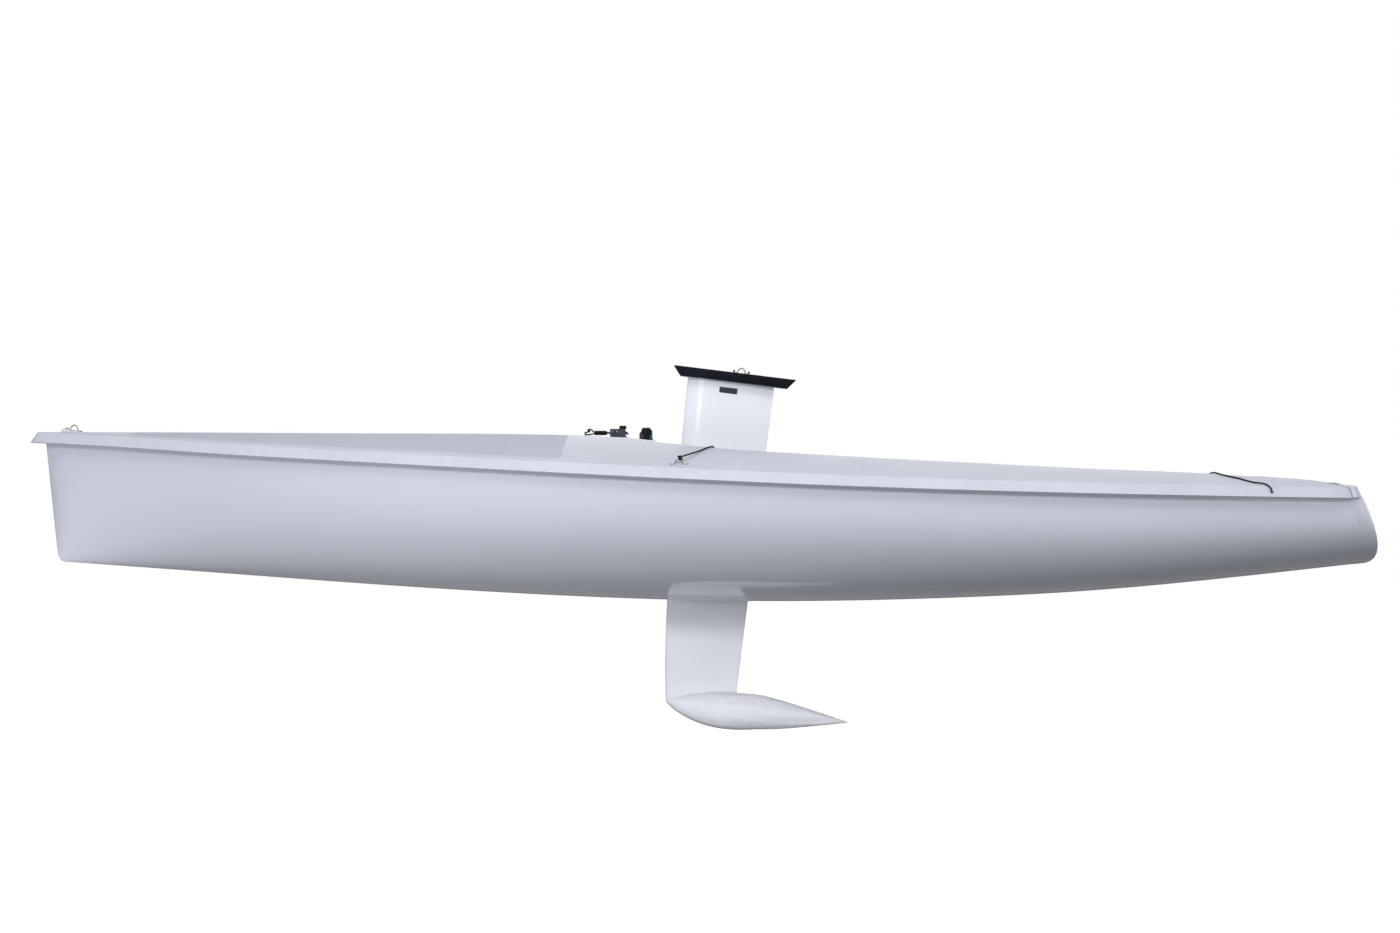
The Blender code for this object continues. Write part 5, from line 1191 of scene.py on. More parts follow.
def makeDataPlate():
    # a thin plate bent to the fin's side, with a raised rim and a rivet at each corner
    columns, points, faces = 17, [], []
    rim, thick = dataPlate["rim"], dataPlate["thick"]
    length, height = dataPlate["back"] - dataPlate["front"], dataPlate["bottom"] - dataPlate["top"]
    ends = (0, rim, rim * 1.3)
    middle = [ends[2] + (length - 2.6 * rim) * i / (columns - 5) for i in range(1, columns - 5)]
    along = [*ends, *middle, *(length - w for w in ends[::-1])]
    down = [*ends, *(height - w for w in ends[::-1])]
    for skin in (0, 1):
        for i, a in enumerate(along):
            for j, d in enumerate(down):
                edge = i < 2 or j < 2 or i > len(along) - 3 or j > len(down) - 3
                x, depth = dataPlate["front"] + a, dataPlate["top"] + d
                lift = seatGap + skin * (thick if edge else thick - dataPlate["sink"])
                points.append((x, -finSide(x, depth) - lift, -depth))
    width, size = len(down), len(along) * len(down)
    for i in range(len(along) - 1):
        for j in range(width - 1):
            a = i * width + j
            faces.append((a, a + 1, a + width + 1, a + width))
            faces.append(tuple(size + k for k in (a, a + width, a + width + 1, a + 1)))
    border = [i * width for i in range(len(along))] + [size - width + j for j in range(1, width)]
    border += [i * width + width - 1 for i in range(len(along) - 2, -1, -1)] + list(range(width - 2, 0, -1))
    for a, b in zip(border, border[1:] + border[:1]):
        faces.append((a, b, b + size, a + size))
    plate, rivets = turnOut(meshPiece("dataPlate", points, faces, noShift)), []
    inset = dataPlate["rivetIn"]
    for x in (dataPlate["front"] + inset, dataPlate["back"] - inset):
        for depth in (dataPlate["top"] + inset, dataPlate["bottom"] - inset):
            spot = Matrix.Translation((x, -finSide(x, depth) - 0.0008, -depth))
            rivets.append(settle(addTurned(dataPlate["rivet"], 16), spot @ turnTo((0, -1, 0))))
    finishPiece(settle(joinPieces(plate, *rivets), keelPlace), "dataPlate", "keel", "foil", ["data_plate"])


makeHeadPlate()
makeDataPlate()
placeEyes()
print("stage: head plate, data plate and pad eyes made")

# Keel trunk and drain pipes


def makeTrunk():
    top, (length, width, thick) = -trunk["down"] - seatGap, trunk["flange"]
    size, middle = slotBlock(trunk["wall"], trunk["case"])
    case = roundEdges(addBlock(size, (middle, 0, top - trunk["case"] / 2)), 0.006, 3, upright)
    flange = roundEdges(addBlock((length, width, thick), (0, 0, top - thick / 2)), 0.016, 5, upright)
    roundEdges(flange, 0.004, 3, lambda c: atHeight(top)(c) or atHeight(top - thick)(c))
    joinTo(case, flange)
    size, middle = slotBlock(0.0, 2.0)
    cutAway(case, addBlock(size, (middle, 0, 0)))
    settle(case, keelPlace)
    pickParts(case, "FACE", anyPart)
    foot = shipPoint(0, 0, trunk["foot"])
    bpy.ops.mesh.bisect(plane_co=foot, plane_no=(0, 0, 1), use_fill=True, clear_inner=True)
    bpy.ops.object.mode_set(mode="OBJECT")
    finishPiece(case, "keelTrunk", "hull", "gelcoat", ["keel_trunk"])


def makeDrains():
    slope, r = math.tan(hull["transomRake"]), drain["radius"]
    back = deckLength + slope * (hull["transomTop"] - drain["height"] + r) + drain["proud"]
    front = cockpit["end"] - drain["proud"]
    steps = [(r * 0.97, front), (r + 0.0025, front), (r + 0.003, front + 0.0012), (r + 0.002, front + 0.0035),
             (r, front + 0.0035), (r, back - 0.001), (r - 0.001, back)]
    for side, label in bothSides:
        pipe = addTurned(steps, 48)
        cutAway(pipe, addRod(r - drain["wall"], 2.0, (0, 0, (front + back) / 2), 48))
        lie = shipPlace(0, side * drain["out"], drain["height"], math.pi / 2)
        finishPiece(settle(pipe, lie), "drainPipe." + label, "hull", "slidePlastic", ["drain_pipe_" + label])


# the strip that closes the seam between the transom's top and the deck
sternStrip = {"size": (0.008, 1.62, 0.029), "in": 0.0105, "z": 0.483, "edge": 0.0015}


def makeSternStrip():
    strip = addBlock(sternStrip["size"], shipPoint(deckLength - sternStrip["in"], 0, sternStrip["z"]))
    finishPiece(roundEdges(strip, sternStrip["edge"], 2, anyPart), "sternStrip", "hull", "gelcoat")


makeTrunk()
makeDrains()
makeSternStrip()
print("stage: trunk and drains made")

# Sizes and places of the fittings on the middle of the deck: mast step, cleat and small eye

mastStep = {"x": 2.660, "z": 0.7085, "length": 0.062, "width": 0.058, "base": 0.006, "cheek": 0.008,
            "height": 0.050, "cheekIn": 0.0171, "chamfer": 0.016, "pivot": 0.0265, "pin": 0.004, "groove": 0.0012,
            "slit": (0.0045, 0.004, 0.022), "keeper": (0.015, 0.0022, 0.0055), "keeperX": -0.0175,
            "keeperHeights": (0.0135, 0.0225), "screwX": 0.024, "screwOut": 0.0272, "screwScale": 0.32,
            "cap": ((0.0078, 0.0), (0.0078, 0.0026), (0.0070, 0.0038), (0.0050, 0.0043)),
            "capBore": (0.0068, 0.0056), "pinHex": 0.0017}
tongue = {"half": 0.0165, "radius": 0.0195, "top": 0.028, "pocket": (0.016, 0.018, 0.010)}
cleat = {"x": 2.538, "z": 0.7205, "length": 0.076, "width": 0.040, "base": 0.0052, "jawX": 2.521, "jawOut": 0.0144,
         "jawHeight": 0.024, "jawRadius": 0.0102, "teeth": 7, "tooth": 0.0009, "spiral": 0.18, "pin": 0.0025,
         "leadX": 2.557, "leadTop": 0.7715, "lineZ": 0.7395, "line": 0.003, "toothed": math.radians(110),
         "levels": 7, "lean": 0.09, "backSteps": 24, "groove": (0.0042, 0.0050, 0.0195), "slant": 0.42,
         "cheek": (0.0150, 0.0186), "cheekTall": 0.0315, "guard": (0.0236, 0.0260),
         "rail": (0.068, 0.0160), "railThick": 0.0026, "railOut": 0.0180, "railUp": 0.0292,
         "bridge": (0.0066, 0.0472, 0.0292), "bridgeX": -0.0336, "bridgeBore": 0.0050,
         "screw": (0.0335, 0.0125), "screwScale": 0.6}
smallEye = {"x": 2.395, "z": 0.7275, "length": 0.012, "width": 0.026, "thick": 0.002, "wire": 0.0012,
            "screws": 0.0095, "screwScale": 0.5,
            "arch": ((0.005, 0.001), (0.005, 0.004), (0.0035, 0.0078), (0, 0.0092))}
stepPlace = shipPlace(mastStep["x"], 0, mastStep["z"])
cleatPlace = shipPlace(cleat["x"], 0, cleat["z"])
smallEyePlace = shipPlace(smallEye["x"], 0, smallEye["z"])

# Seats moulded into the deck under the fittings: place, length, width and depth

seats = [(bowPlace, 0.094, 0.038, 0.022), *((place, 0.094, 0.028, 0.012) for place in chainPlaces),
         (stepPlace, 0.078, 0.074, 0.016), (cleatPlace, 0.092, 0.056, 0.012), (smallEyePlace, 0.028, 0.042, 0.008)]
seatShape = {"spread": 0.012, "corner": 0.006, "edge": 0.0016}


def makeSeats():
    for number, (place, length, width, down) in enumerate(seats, 1):
        block = addBlock((length, width, down), (0, 0, -down / 2))
        pickParts(block, "FACE", atHeight(-down))
        grow = [1.0 + seatShape["spread"] / size for size in (length, width)]
        bpy.ops.transform.resize(value=(*grow, 1), center_override=(0, 0, 0))
        bpy.ops.object.mode_set(mode="OBJECT")
        roundEdges(block, seatShape["corner"], 4, lambda c: abs(c[0].z - c[1].z) > 0.5 * down)
        roundEdges(block, seatShape["edge"], 3, atHeight(0.0))
        finishPiece(settle(block, place), "deckSeat.%d" % number, "hull", "deck")


makeSeats()
print("stage: deck seats made")

# Hinged mast step: base with two cheeks, the tongue between them and its cross pin


def addPrism(outline, low, high, edge=0.0, steps=3):
    # a flat outline raised between two heights along Y, its edges softened
    points = [(x, low, z) for x, z in outline] + [(x, high, z) for x, z in outline]
    count = len(outline)
    faces = [tuple(range(count)), tuple(range(2 * count - 1, count - 1, -1))]
    faces += [(i, i + count, (i + 1) % count + count, (i + 1) % count) for i in range(count)]
    prism = turnOut(meshPiece("prism", points, faces, noShift), 1e-7)
    if edge:
        roundEdges(prism, edge, steps, lambda c: abs(c[0].y - c[1].y) < 0.5 * abs(high - low))
    return prism


def makeMastStep():
    half, tall, cut = mastStep["length"] / 2 - 0.002, mastStep["height"], mastStep["chamfer"]
    near, far = mastStep["cheekIn"], mastStep["cheekIn"] + mastStep["cheek"]
    base = addPlate(mastStep["length"], mastStep["width"], seatGap, mastStep["base"], 0.006, 0.0015)
    outline = [(-half, 0.003), (half, 0.003), (half - 0.002, tall - 0.008), (half - 0.010, tall),
               (cut - half, tall), (0.004 - half, tall - cut * 1.1), (-half, tall - cut * 1.4)]
    rib = [(0.005 - half, 0.0085), (half - 0.019, 0.0085), (half - 0.019, tall - 0.005),
           (cut - half + 0.003, tall - 0.005), (0.006 - half, tall - cut * 1.35)]
    wedge = [(half - 0.0125, 0.0075), (half - 0.0025, 0.0075), (half - 0.0035, 0.0235), (half - 0.0085, 0.0215)]
    for side, _ in bothSides:
        joinTo(base, addPrism(outline, side * near, side * far, 0.0012))
        cutAway(base, addPrism(rib, side * (far - mastStep["groove"]), side * (far + 0.01)))
        cutAway(base, addBlock(mastStep["slit"], (half - 0.0125, side * far, tall - 0.017)))
    finishPiece(settle(base, stepPlace), "mastStepBase", "hull", "nylon", ["mast_step_base"])
    for side, label in bothSides:
        inlay = addPrism(wedge, side * (far - 0.001), side * (far + 0.0011), 0.0004)
        finishPiece(settle(inlay, stepPlace), "stepInlay." + label, "hull", "teal")
        for number, z in enumerate(mastStep["keeperHeights"], 1):
            bar = addBlock(mastStep["keeper"], (mastStep["keeperX"], side * (far - 0.0001), z))
            roundEdges(bar, 0.0016, 4, lambda c: abs(c[0].y - c[1].y) > 0.001)
            roundEdges(bar, 0.0005, 2, lambda c: all(abs(q.y) > far for q in c))
            finishPiece(settle(bar, stepPlace), "stepKeeper.%s.%d" % (label, number), "hull", "dullSteel")
        cap = addTurned(mastStep["cap"], 40)
        cutAway(cap, addRod(*mastStep["capBore"], (0, 0, 0), 40))
        lie = moved(stepPlace, 0, side * (far + 0.0001), mastStep["pivot"]) @ turnTo((0, side, 0))
        finishPiece(settle(cap, lie), "stepPinCap." + label, "hull", "nylon")
        for end, name in ((-1, "fore"), (1, "aft")):
            spot = moved(stepPlace, end * mastStep["screwX"], side * mastStep["screwOut"], mastStep["base"])
            placeScrew("stepScrew.%s.%s" % (label, name), spot, mastStep["screwScale"])
    pin = mastStep["pin"]
    ends = ((pin * 1.2, 0.0025), (pin * 1.6, 0.0018), (pin * 1.6, 0.0003), (pin, 0.0003))
    rod = addTurned([(r, -far - past) for r, past in ends] + [(r, far + past) for r, past in ends[::-1]], 32)
    for end in (-1, 1):
        cutAway(rod, addRod(mastStep["pinHex"], 0.002, (0, 0, end * (far + 0.0025)), 6))
    cross = moved(stepPlace, 0, 0, mastStep["pivot"]) @ turnTo((0, 1, 0))
    finishPiece(settle(rod, cross), "mastHingePin", "hull", "steel", ["mast_hinge_pin"])


def makeTongue():
    radius, top = tongue["radius"], tongue["top"]
    outline = [(radius * math.cos(a), radius * math.sin(a)) for a in np.linspace(math.pi, 2 * math.pi, 25)]
    outline += [(radius, top - 0.003), (radius - 0.003, top), (-radius + 0.006, top), (-radius, top - 0.006)]
    heel = addPrism(outline, -tongue["half"], tongue["half"], 0.0009)
    cutAway(heel, addRod(mastStep["pin"] + seatGap, 0.05, (0, 0, 0), 32, along="Y"))
    cutAway(heel, addBlock(tongue["pocket"], (0.002, 0, top - 0.001)))
    place = moved(stepPlace, 0, 0, mastStep["pivot"])
    finishPiece(settle(heel, place), "mastHeelTongue", "mast_heel", "alloy", ["mast_heel_tongue"])


makeMastStep()
makeTongue()
print("stage: mast step made")

# Cam cleat with its side ribs and fairlead, the control line, its grip, its loop and the small eye

jawFloor = cleat["z"] + cleat["base"] + seatGap
cleatTop = moved(cleatPlace, 0, 0, cleat["base"])


def makeJaw(side, label):
    # a toothed cam whose teeth slant as they rise, with finger flutes on its back
    toothed, levels, backSteps, inward = cleat["toothed"], cleat["levels"], cleat["backSteps"], -side * math.pi / 2
    tall, pin, count, rings = cleat["jawHeight"], cleat["pin"], 6 * cleat["teeth"], []
    for level in range(levels + 1):
        lean, row = side * cleat["lean"] * (level / levels - 0.5), []
        for i in range(count + 1):
            a = -toothed / 2 + toothed * i / count
            wave = abs(((i / count * cleat["teeth"]) % 1.0) * 2 - 1)
            r = cleat["jawRadius"] * (1 - side * cleat["spiral"] * a) + cleat["tooth"] * (1 - wave) * 0.95
            row.append((r, a + lean))
        for i in range(1, backSteps):
            a = toothed / 2 + (2 * math.pi - toothed) * i / backSteps
            row.append((cleat["jawRadius"] * (0.80 + 0.025 * math.cos(i * math.pi / 2)), a))
        edge = 0.93 if level in (0, levels) else 1.0
        rings.append([(r * edge * math.cos(inward + a), r * edge * math.sin(inward + a), tall * level / levels)
                      for r, a in row])
    jaw = turnOut(loftPiece("jaw", rings), 1e-7)
    cutAway(jaw, addRod(pin + seatGap, 0.06, (0, 0, 0.012), 24))
    pivot = shipPlace(cleat["jawX"], side * cleat["jawOut"], jawFloor)
    finishPiece(settle(jaw, pivot), "cleatJaw." + label, "jaw_" + label, "alloy", ["cleat_jaw_" + label], 25)
    rod = addTurned([(pin, -0.020), (pin, tall + 0.0003), (pin * 2, tall + 0.0003), (pin * 2, tall + 0.002),
                     (pin * 1.7, tall + 0.0032), (pin * 1.1, tall + 0.0039)], 28)
    cutAway(rod, addBlock((0.012, 0.0011, 0.0024), (0, 0, tall + 0.0042)))
    turn = moved(pivot, 0, 0, 0, 0.6 * side)
    finishPiece(settle(rod, turn), "jawPin." + label, "hull", "steel", ["jaw_pin_" + label])


def addGrooved(outline, span, side, edge, grooves):
    # a side plate of the cleat with three slanted grooves: first, pitch, how far out and how high
    low, high = span
    plate = addPrism(outline, side * low, side * high, edge)
    start, pitch, out, height = grooves
    for number in range(3):
        groove = addBlock(cleat["groove"], (0, 0, 0))
        middle = Matrix.Translation((start + number * pitch, side * out, height))
        cutAway(plate, settle(groove, middle @ Matrix.Rotation(cleat["slant"], 4, "Y")))
    return settle(plate, cleatTop)


def makeCleat():
    base = addPlate(cleat["length"], cleat["width"], seatGap, cleat["base"], 0.008, 0.0016)
    finishPiece(settle(base, cleatPlace), "cleatBase", "hull", "alloy", ["cleat_base"])
    rise = cleat["cheekTall"]
    ribs = [(-0.0028, 0.0), (0.0315, 0.0), (0.0335, rise * 0.55), (0.030, rise), (0.0005, rise), (-0.0028, rise * 0.8)]
    shield = [(-0.0368, 0.0008), (-0.0030, 0.0008), (-0.0030, 0.0294), (-0.0350, 0.0294), (-0.0368, 0.0270)]
    for side, label in bothSides:
        makeJaw(side, label)
        cheek = addGrooved(ribs, cleat["cheek"], side, 0.0009, (0.0052, 0.0098, 0.0190, rise * 0.46))
        finishPiece(cheek, "cleatRibs." + label, "hull", "alloy", (), 25)
        rail = addPlate(*cleat["rail"], 0.0, cleat["railThick"], 0.0035, 0.0008)
        spot = moved(cleatTop, -0.003, side * cleat["railOut"], cleat["railUp"])
        finishPiece(settle(rail, spot), "cleatRail." + label, "hull", "alloy")
        guard = addGrooved(shield, cleat["guard"], side, 0.0008, (-0.0295, 0.0096, 0.0250, 0.0136))
        finishPiece(guard, "cleatGuard." + label, "hull", "alloy", (), 25)
    bridge = addBlock(cleat["bridge"], (cleat["bridgeX"], 0, cleat["bridge"][2] / 2))
    roundEdges(bridge, 0.003, 4, lambda c: abs(c[0].x - c[1].x) > 0.005)
    roundEdges(bridge, 0.0008, 2, lambda c: abs(c[0].x - c[1].x) < 1e-5)
    bore = (cleat["bridgeX"], 0, cleat["lineZ"] - cleat["z"] - cleat["base"])
    cutAway(bridge, addRod(cleat["bridgeBore"], 0.04, bore, 32, along="X"))
    finishPiece(settle(bridge, cleatTop), "cleatBridge", "hull", "alloy")
    x, out = cleat["screw"]
    for side, label in bothSides:
        placeScrew("cleatScrew." + label, moved(cleatTop, x, side * out, 0, 1.34), cleat["screwScale"])


fairlead = {"post": ((0.0150, 0.0), (0.0145, 0.55), (0.0125, 0.80), (0.0060, 0.84)), "half": 0.0070,
            "crown": (0.031, 0.022, 0.0145), "middle": 0.0005, "bore": 0.0055, "mouth": 0.0080, "mouthOut": 0.0068,
            "slit": (0.020, 0.0016, 0.0030), "slitOut": 0.0066}


def makeFairlead():
    tall, drop, middle = cleat["leadTop"] - jawFloor, cleat["lineZ"] - jawFloor, fairlead["middle"]
    right = [(half, tall * share) for half, share in fairlead["post"]]
    post = [(-right[0][0], 0.0), *right, *((-x, z) for x, z in right[:0:-1])]
    lead = addPrism(post, -fairlead["half"], fairlead["half"], 0.0012)
    settle(lead, Matrix.Rotation(math.pi / 2, 4, "Z"))
    crown = addBlock(fairlead["crown"], (middle, 0, tall - fairlead["crown"][2] / 2))
    roundEdges(crown, 0.0042, 5, lambda c: abs(c[0].y - c[1].y) > 0.01 and c[0].z > tall - 0.003)
    roundEdges(crown, 0.0012, 3, lambda c: abs(c[0].y - c[1].y) < 1e-5)
    joinTo(lead, crown)
    bore, mouth, out = fairlead["bore"], fairlead["mouth"], fairlead["mouthOut"]
    cutAway(lead, addRod(bore, 0.06, (0, 0, drop), 40, along="X"))
    for side, near, far in ((-1, mouth, bore), (1, bore, mouth)):
        cutAway(lead, addRod(near, 0.0030, (side * out, 0, drop), 40, along="X", topRadius=far))
    for side, _ in bothSides:
        cutAway(lead, addBlock(fairlead["slit"], (middle, side * fairlead["slitOut"], tall)))
    place = shipPlace(cleat["leadX"], 0, jawFloor)
    finishPiece(settle(lead, place), "cleatFairlead", "hull", "nylon", ["cleat_fairlead"])


# the grip's ends are steps of its radius and of the distance from its front or back
grip = {"front": 2.432, "back": 2.490, "radius": 0.0105, "ridges": 9, "ridgeRun": 0.018, "ridgeStart": 0.0062,
        "nose": ((0.62, 0.0), (0.80, 0.0008), (0.94, 0.0034), (1.0, 0.0052)),
        "ridge": ((1.0, 0.35), (0.93, 0.50), (0.93, 0.80), (1.0, 1.0)),
        "tail": ((0.97, 0.0095), (0.84, 0.0070), (0.72, 0.0035), (0.66, 0.0008), (0.58, 0.0))}
loopRoute = ((2.4317, 0.7430), (2.4270, 0.7452), (2.4205, 0.7515), (2.4125, 0.7555), (2.4060, 0.7530),
             (2.4040, 0.7475), (2.4005, 0.7430), (2.3945, 0.7416), (2.3900, 0.7378), (2.3905, 0.7335),
             (2.3950, 0.7321), (2.4030, 0.7322), (2.413, 0.7330), (2.422, 0.7345), (2.4277, 0.7358), (2.4317, 0.7360))


def makeGrip():
    front, back, r = grip["front"], grip["back"], grip["radius"]
    steps = [(r * share, front + past) for share, past in grip["nose"]]
    pitch = (back - front - grip["ridgeRun"]) / grip["ridges"]
    for i in range(grip["ridges"]):
        start = front + grip["ridgeStart"] + i * pitch
        steps += [(r * share, start + pitch * past) for share, past in grip["ridge"]]
    steps += [(r * share, back - left) for share, left in grip["tail"]]
    along = shipPlace(0, 0, cleat["lineZ"], math.pi / 2)
    finishPiece(settle(addTurned(steps, 48), along), "lineGrip", "hull", "nylon", ["line_grip"], 30)


def makeLines():
    start, end, z = grip["back"] + seatGap, cleat["x"] + cleat["length"] / 2 - 0.006, cleat["lineZ"]
    tail = [(start, 0, z), (2.52, 0, z), (2.557, 0, z), (end, 0, z), (end + 0.004, 0.0004, z + 0.0002)]
    line = sweepTube("line", smoothRoute(tail, 0.002), cleat["line"], 14, shipShift)
    knot = sweepTube("knot", knotPath(0.0042), cleat["line"] * 0.92, 12)
    settle(knot, shipPlace(end + 0.0035, 0, z, math.pi / 2))
    stub = [(end + 0.005, 0.001, z), (end + 0.008, 0.002, z - 0.002), (end + 0.010, 0.003, z - 0.006)]
    stub = sweepTube("stub", smoothRoute(stub, 0.001), cleat["line"], 14, shipShift)
    whip = sweepTube("whip", [Vector((start + 0.0045 + 0.0005 * i, 0, z)) for i in range(8)], 0.0046, 14, shipShift)
    finishPiece(joinPieces(line, knot, stub, whip), "controlLine", "hull", "cord", ["control_line"])
    route = [(x, 0, z) for x, z in loopRoute]
    loop = sweepTube("loop", smoothRoute(route, 0.0012), 0.0032, 12, shipShift)
    bend = settle(sweepTube("bend", knotPath(0.0062), 0.0031, 10), shipPlace(2.4070, 0, 0.7500, 1.2))
    finishPiece(joinPieces(loop, bend), "gripLoop", "hull", "blueCord", ["grip_loop"])


def makeSmallEye():
    plate = addPlate(smallEye["length"], smallEye["width"], seatGap, smallEye["thick"], 0.004, 0.0006)
    arch = [(0, -y, z) for y, z in smallEye["arch"]]
    arch += [(0, -y, z) for _, y, z in arch[-2::-1]]
    bail = sweepTube("bail", smoothRoute(arch, 0.0008), smallEye["wire"], 12)
    finishPiece(settle(joinPieces(plate, bail), smallEyePlace), "smallDeckEye", "hull", "steel", ["small_deck_eye"])
    for side, label in bothSides:
        spot = moved(smallEyePlace, 0, side * smallEye["screws"], smallEye["thick"], side)
        placeScrew("smallEyeScrew." + label, spot, smallEye["screwScale"])


makeCleat()
makeFairlead()
makeGrip()
makeLines()
makeSmallEye()
print("stage: cleat, line and grip made")

# Hiking straps of webbing, with their end plates and the cords that hold them out

strap = {"out": 0.40, "width": 0.050, "thick": 0.003, "front": 3.42, "back": 4.98, "rise": 0.060, "ramp": 0.16,
         "flat": 0.050, "stitchIn": 0.062, "stitchRows": (-0.016, -0.006, 0.006, 0.016), "stitchRun": 0.014,
         "stitch": 0.0035, "thread": 0.0005, "plateIn": 0.020, "plate": (0.024, 0.062), "plateThick": 0.0022,
         "screwScale": 0.85}
tie = {"radius": 0.0035, "clear": 0.001, "foreCrest": 2.953, "foreLanding": 3.655, "aftCrest": 5.050,
       "aftLanding": 4.745, "hole": 5.236, "holeShare": 0.58, "holeIn": 0.022, "knot": 0.0064, "hitchPast": 0.008,
       "deckRun": ((0.022, 0.004, 0.0015), (0.055, 0.05, 0.0), (0.10, 0.14, 0.0), (0.155, 0.24, 0.0)),
       "collar": ((0.0078, 0.0), (0.0078, 0.0008), (0.0066, 0.0016), (0.0050, 0.0016)), "collarBore": 0.0046}


def strapTop(x):
    # height of the stitching on the strap's upper face
    inside = min(x - strap["front"], strap["back"] - x) - strap["flat"]
    return cockpit["floor"] + strap["rise"] * easeStep(inside / strap["ramp"]) + strap["thick"] * 0.93


def strapPath():
    low, high = cockpit["floor"] + seatGap, cockpit["floor"] + strap["rise"]
    path = [(strap["front"] + strap["flat"] * i / 6, low) for i in range(7)]
    for i in range(1, 17):
        path.append((path[6][0] + strap["ramp"] * i / 16, low + (high - low) * easeStep(i / 16)))
    length = strap["front"] + strap["back"]
    flat = [(path[-1][0] + (length - 2 * path[-1][0]) * i / 24, high) for i in range(1, 24)]
    return path + flat + [(length - x, z) for x, z in reversed(path)]


def makeStrap(side, label):
    # a flat band with a thicker double edge and stitching at each end
    path, rings, runs, run = strapPath(), [], [], 0.0
    half, middle = strap["width"] / 2, side * strap["out"]
    section = [(-half, 0.15), (-half, 0.85), (-half + 0.0012, 1.0), (-half + 0.005, 1.0), (-half + 0.006, 0.86),
               (0, 0.84)]
    section += [(-y, t) for y, t in section[-2::-1]]
    section += [(half - 0.0012, 0.0), (0, 0.0), (-half + 0.0012, 0.0)]
    for near, (x, z) in zip([path[0], *path], path):
        run += math.hypot(x - near[0], z - near[1])
        rings.append([(x, middle + y, z + t * strap["thick"]) for y, t in section])
        runs.append(run)
    belt = loftPiece("belt", rings, shipShift)
    cloth = belt.data.uv_layers.new(name="strandMap")
    for loop in belt.data.loops:
        corner = belt.data.vertices[loop.vertex_index].co
        cloth.data[loop.index].uv = (corner.y, runs[loop.vertex_index // len(section)])
    for x in (strap["front"] + strap["stitchIn"], strap["back"] - strap["stitchIn"]):
        for row in strap["stitchRows"]:
            marks = [x - strap["stitchRun"] + strap["stitch"] * i for i in range(9)]
            spots = [Vector((mark, middle + row, strapTop(mark))) for mark in marks]
            for near, far in zip(spots, spots[1:]):
                stitch = smoothRoute([near, (near + far) / 2 + Vector((0, 0, 0.0004)), far], 0.0009)
                joinPieces(belt, sweepTube("stitch", stitch[:-1], strap["thread"], 6, shipShift))
    finishPiece(turnOut(belt, 1e-7), "hikingStrap." + label, "hull", "webbing", ["hiking_strap_" + label])


def makeStrapEnds():
    for side, label in bothSides:
        for x, end in ((strap["front"] + strap["plateIn"], "fore"), (strap["back"] - strap["plateIn"], "aft")):
            plate = addPlate(*strap["plate"], 0.0, strap["plateThick"], 0.005, 0.0007)
            place = shipPlace(x, side * strap["out"], cockpit["floor"] + strap["thick"] + seatGap)
            finishPiece(settle(plate, place), "strapPlate.%s.%s" % (label, end), "hull", "steel")
            for number, y in ((1, -0.020), (21, 0.0), (41, 0.020)):
                spot = moved(place, 0, y, strap["plateThick"], y * 70 + x)
                placeScrew("strapScrew.%s.%s.%d" % (label, end, number), spot, strap["screwScale"])


def tieRun(end, crestX, landingX):
    lift = tie["radius"] + tie["clear"]
    y = coamingHalf(crestX) + cockpit["coamingTop"]
    crest = (crestX, y, deckTop(crestX, y) + lift)
    overX = crestX + 0.008 * (1 if landingX > crestX else -1)
    over = (overX, coamingHalf(overX) - 0.013 - lift, deckTop(overX, coamingHalf(overX)) - 0.6 * lift)
    top = cockpit["floor"] + strap["rise"] + strap["thick"]
    landing = (landingX, strap["out"], top + tie["radius"] + 2 * tie["clear"])
    return [*end, crest, over, *(partWay(over, landing, share) for share in (0.04, 0.5, 0.96)), landing]


def foreTie(start):
    # from the chainplate eye over the side deck
    crest = (tie["foreCrest"], coamingHalf(tie["foreCrest"]) + cockpit["coamingTop"])
    lift, lead = tie["radius"] + tie["clear"], [start]
    top = deckTop(*crest) + lift
    for share in (0.2, 0.4, 0.6, 0.8, 0.92):
        x, y = start[0] + (crest[0] - start[0]) * share, start[1] + (crest[1] - start[1]) * share ** 1.5
        lead.append((x, y, max(deckTop(x, y) + lift, start[2] + (top - start[2]) * share)))
    return tieRun(lead, tie["foreCrest"], tie["foreLanding"])


def aftTie(hole):
    # out through the hole in the deck's band, then back over the edge and inwards
    edge, holeY, holeZ = hole
    crease = lipHalf(edge) - band["out"]
    over = [(edge, holeY - tie["holeIn"], holeZ), (edge, holeY + 0.004, holeZ),
            (edge - 0.002, holeY + 0.0115, holeZ + 0.006), (edge - 0.010, crease + 0.013, holeZ + 0.024)]
    for ahead, inward, more in tie["deckRun"]:
        x = edge - ahead
        y = lipHalf(x) - band["out"] - inward
        over.append((x, y, deckTop(x, y) + tie["radius"] + tie["clear"] + more))
    return tieRun(over, tie["aftCrest"], tie["aftLanding"])


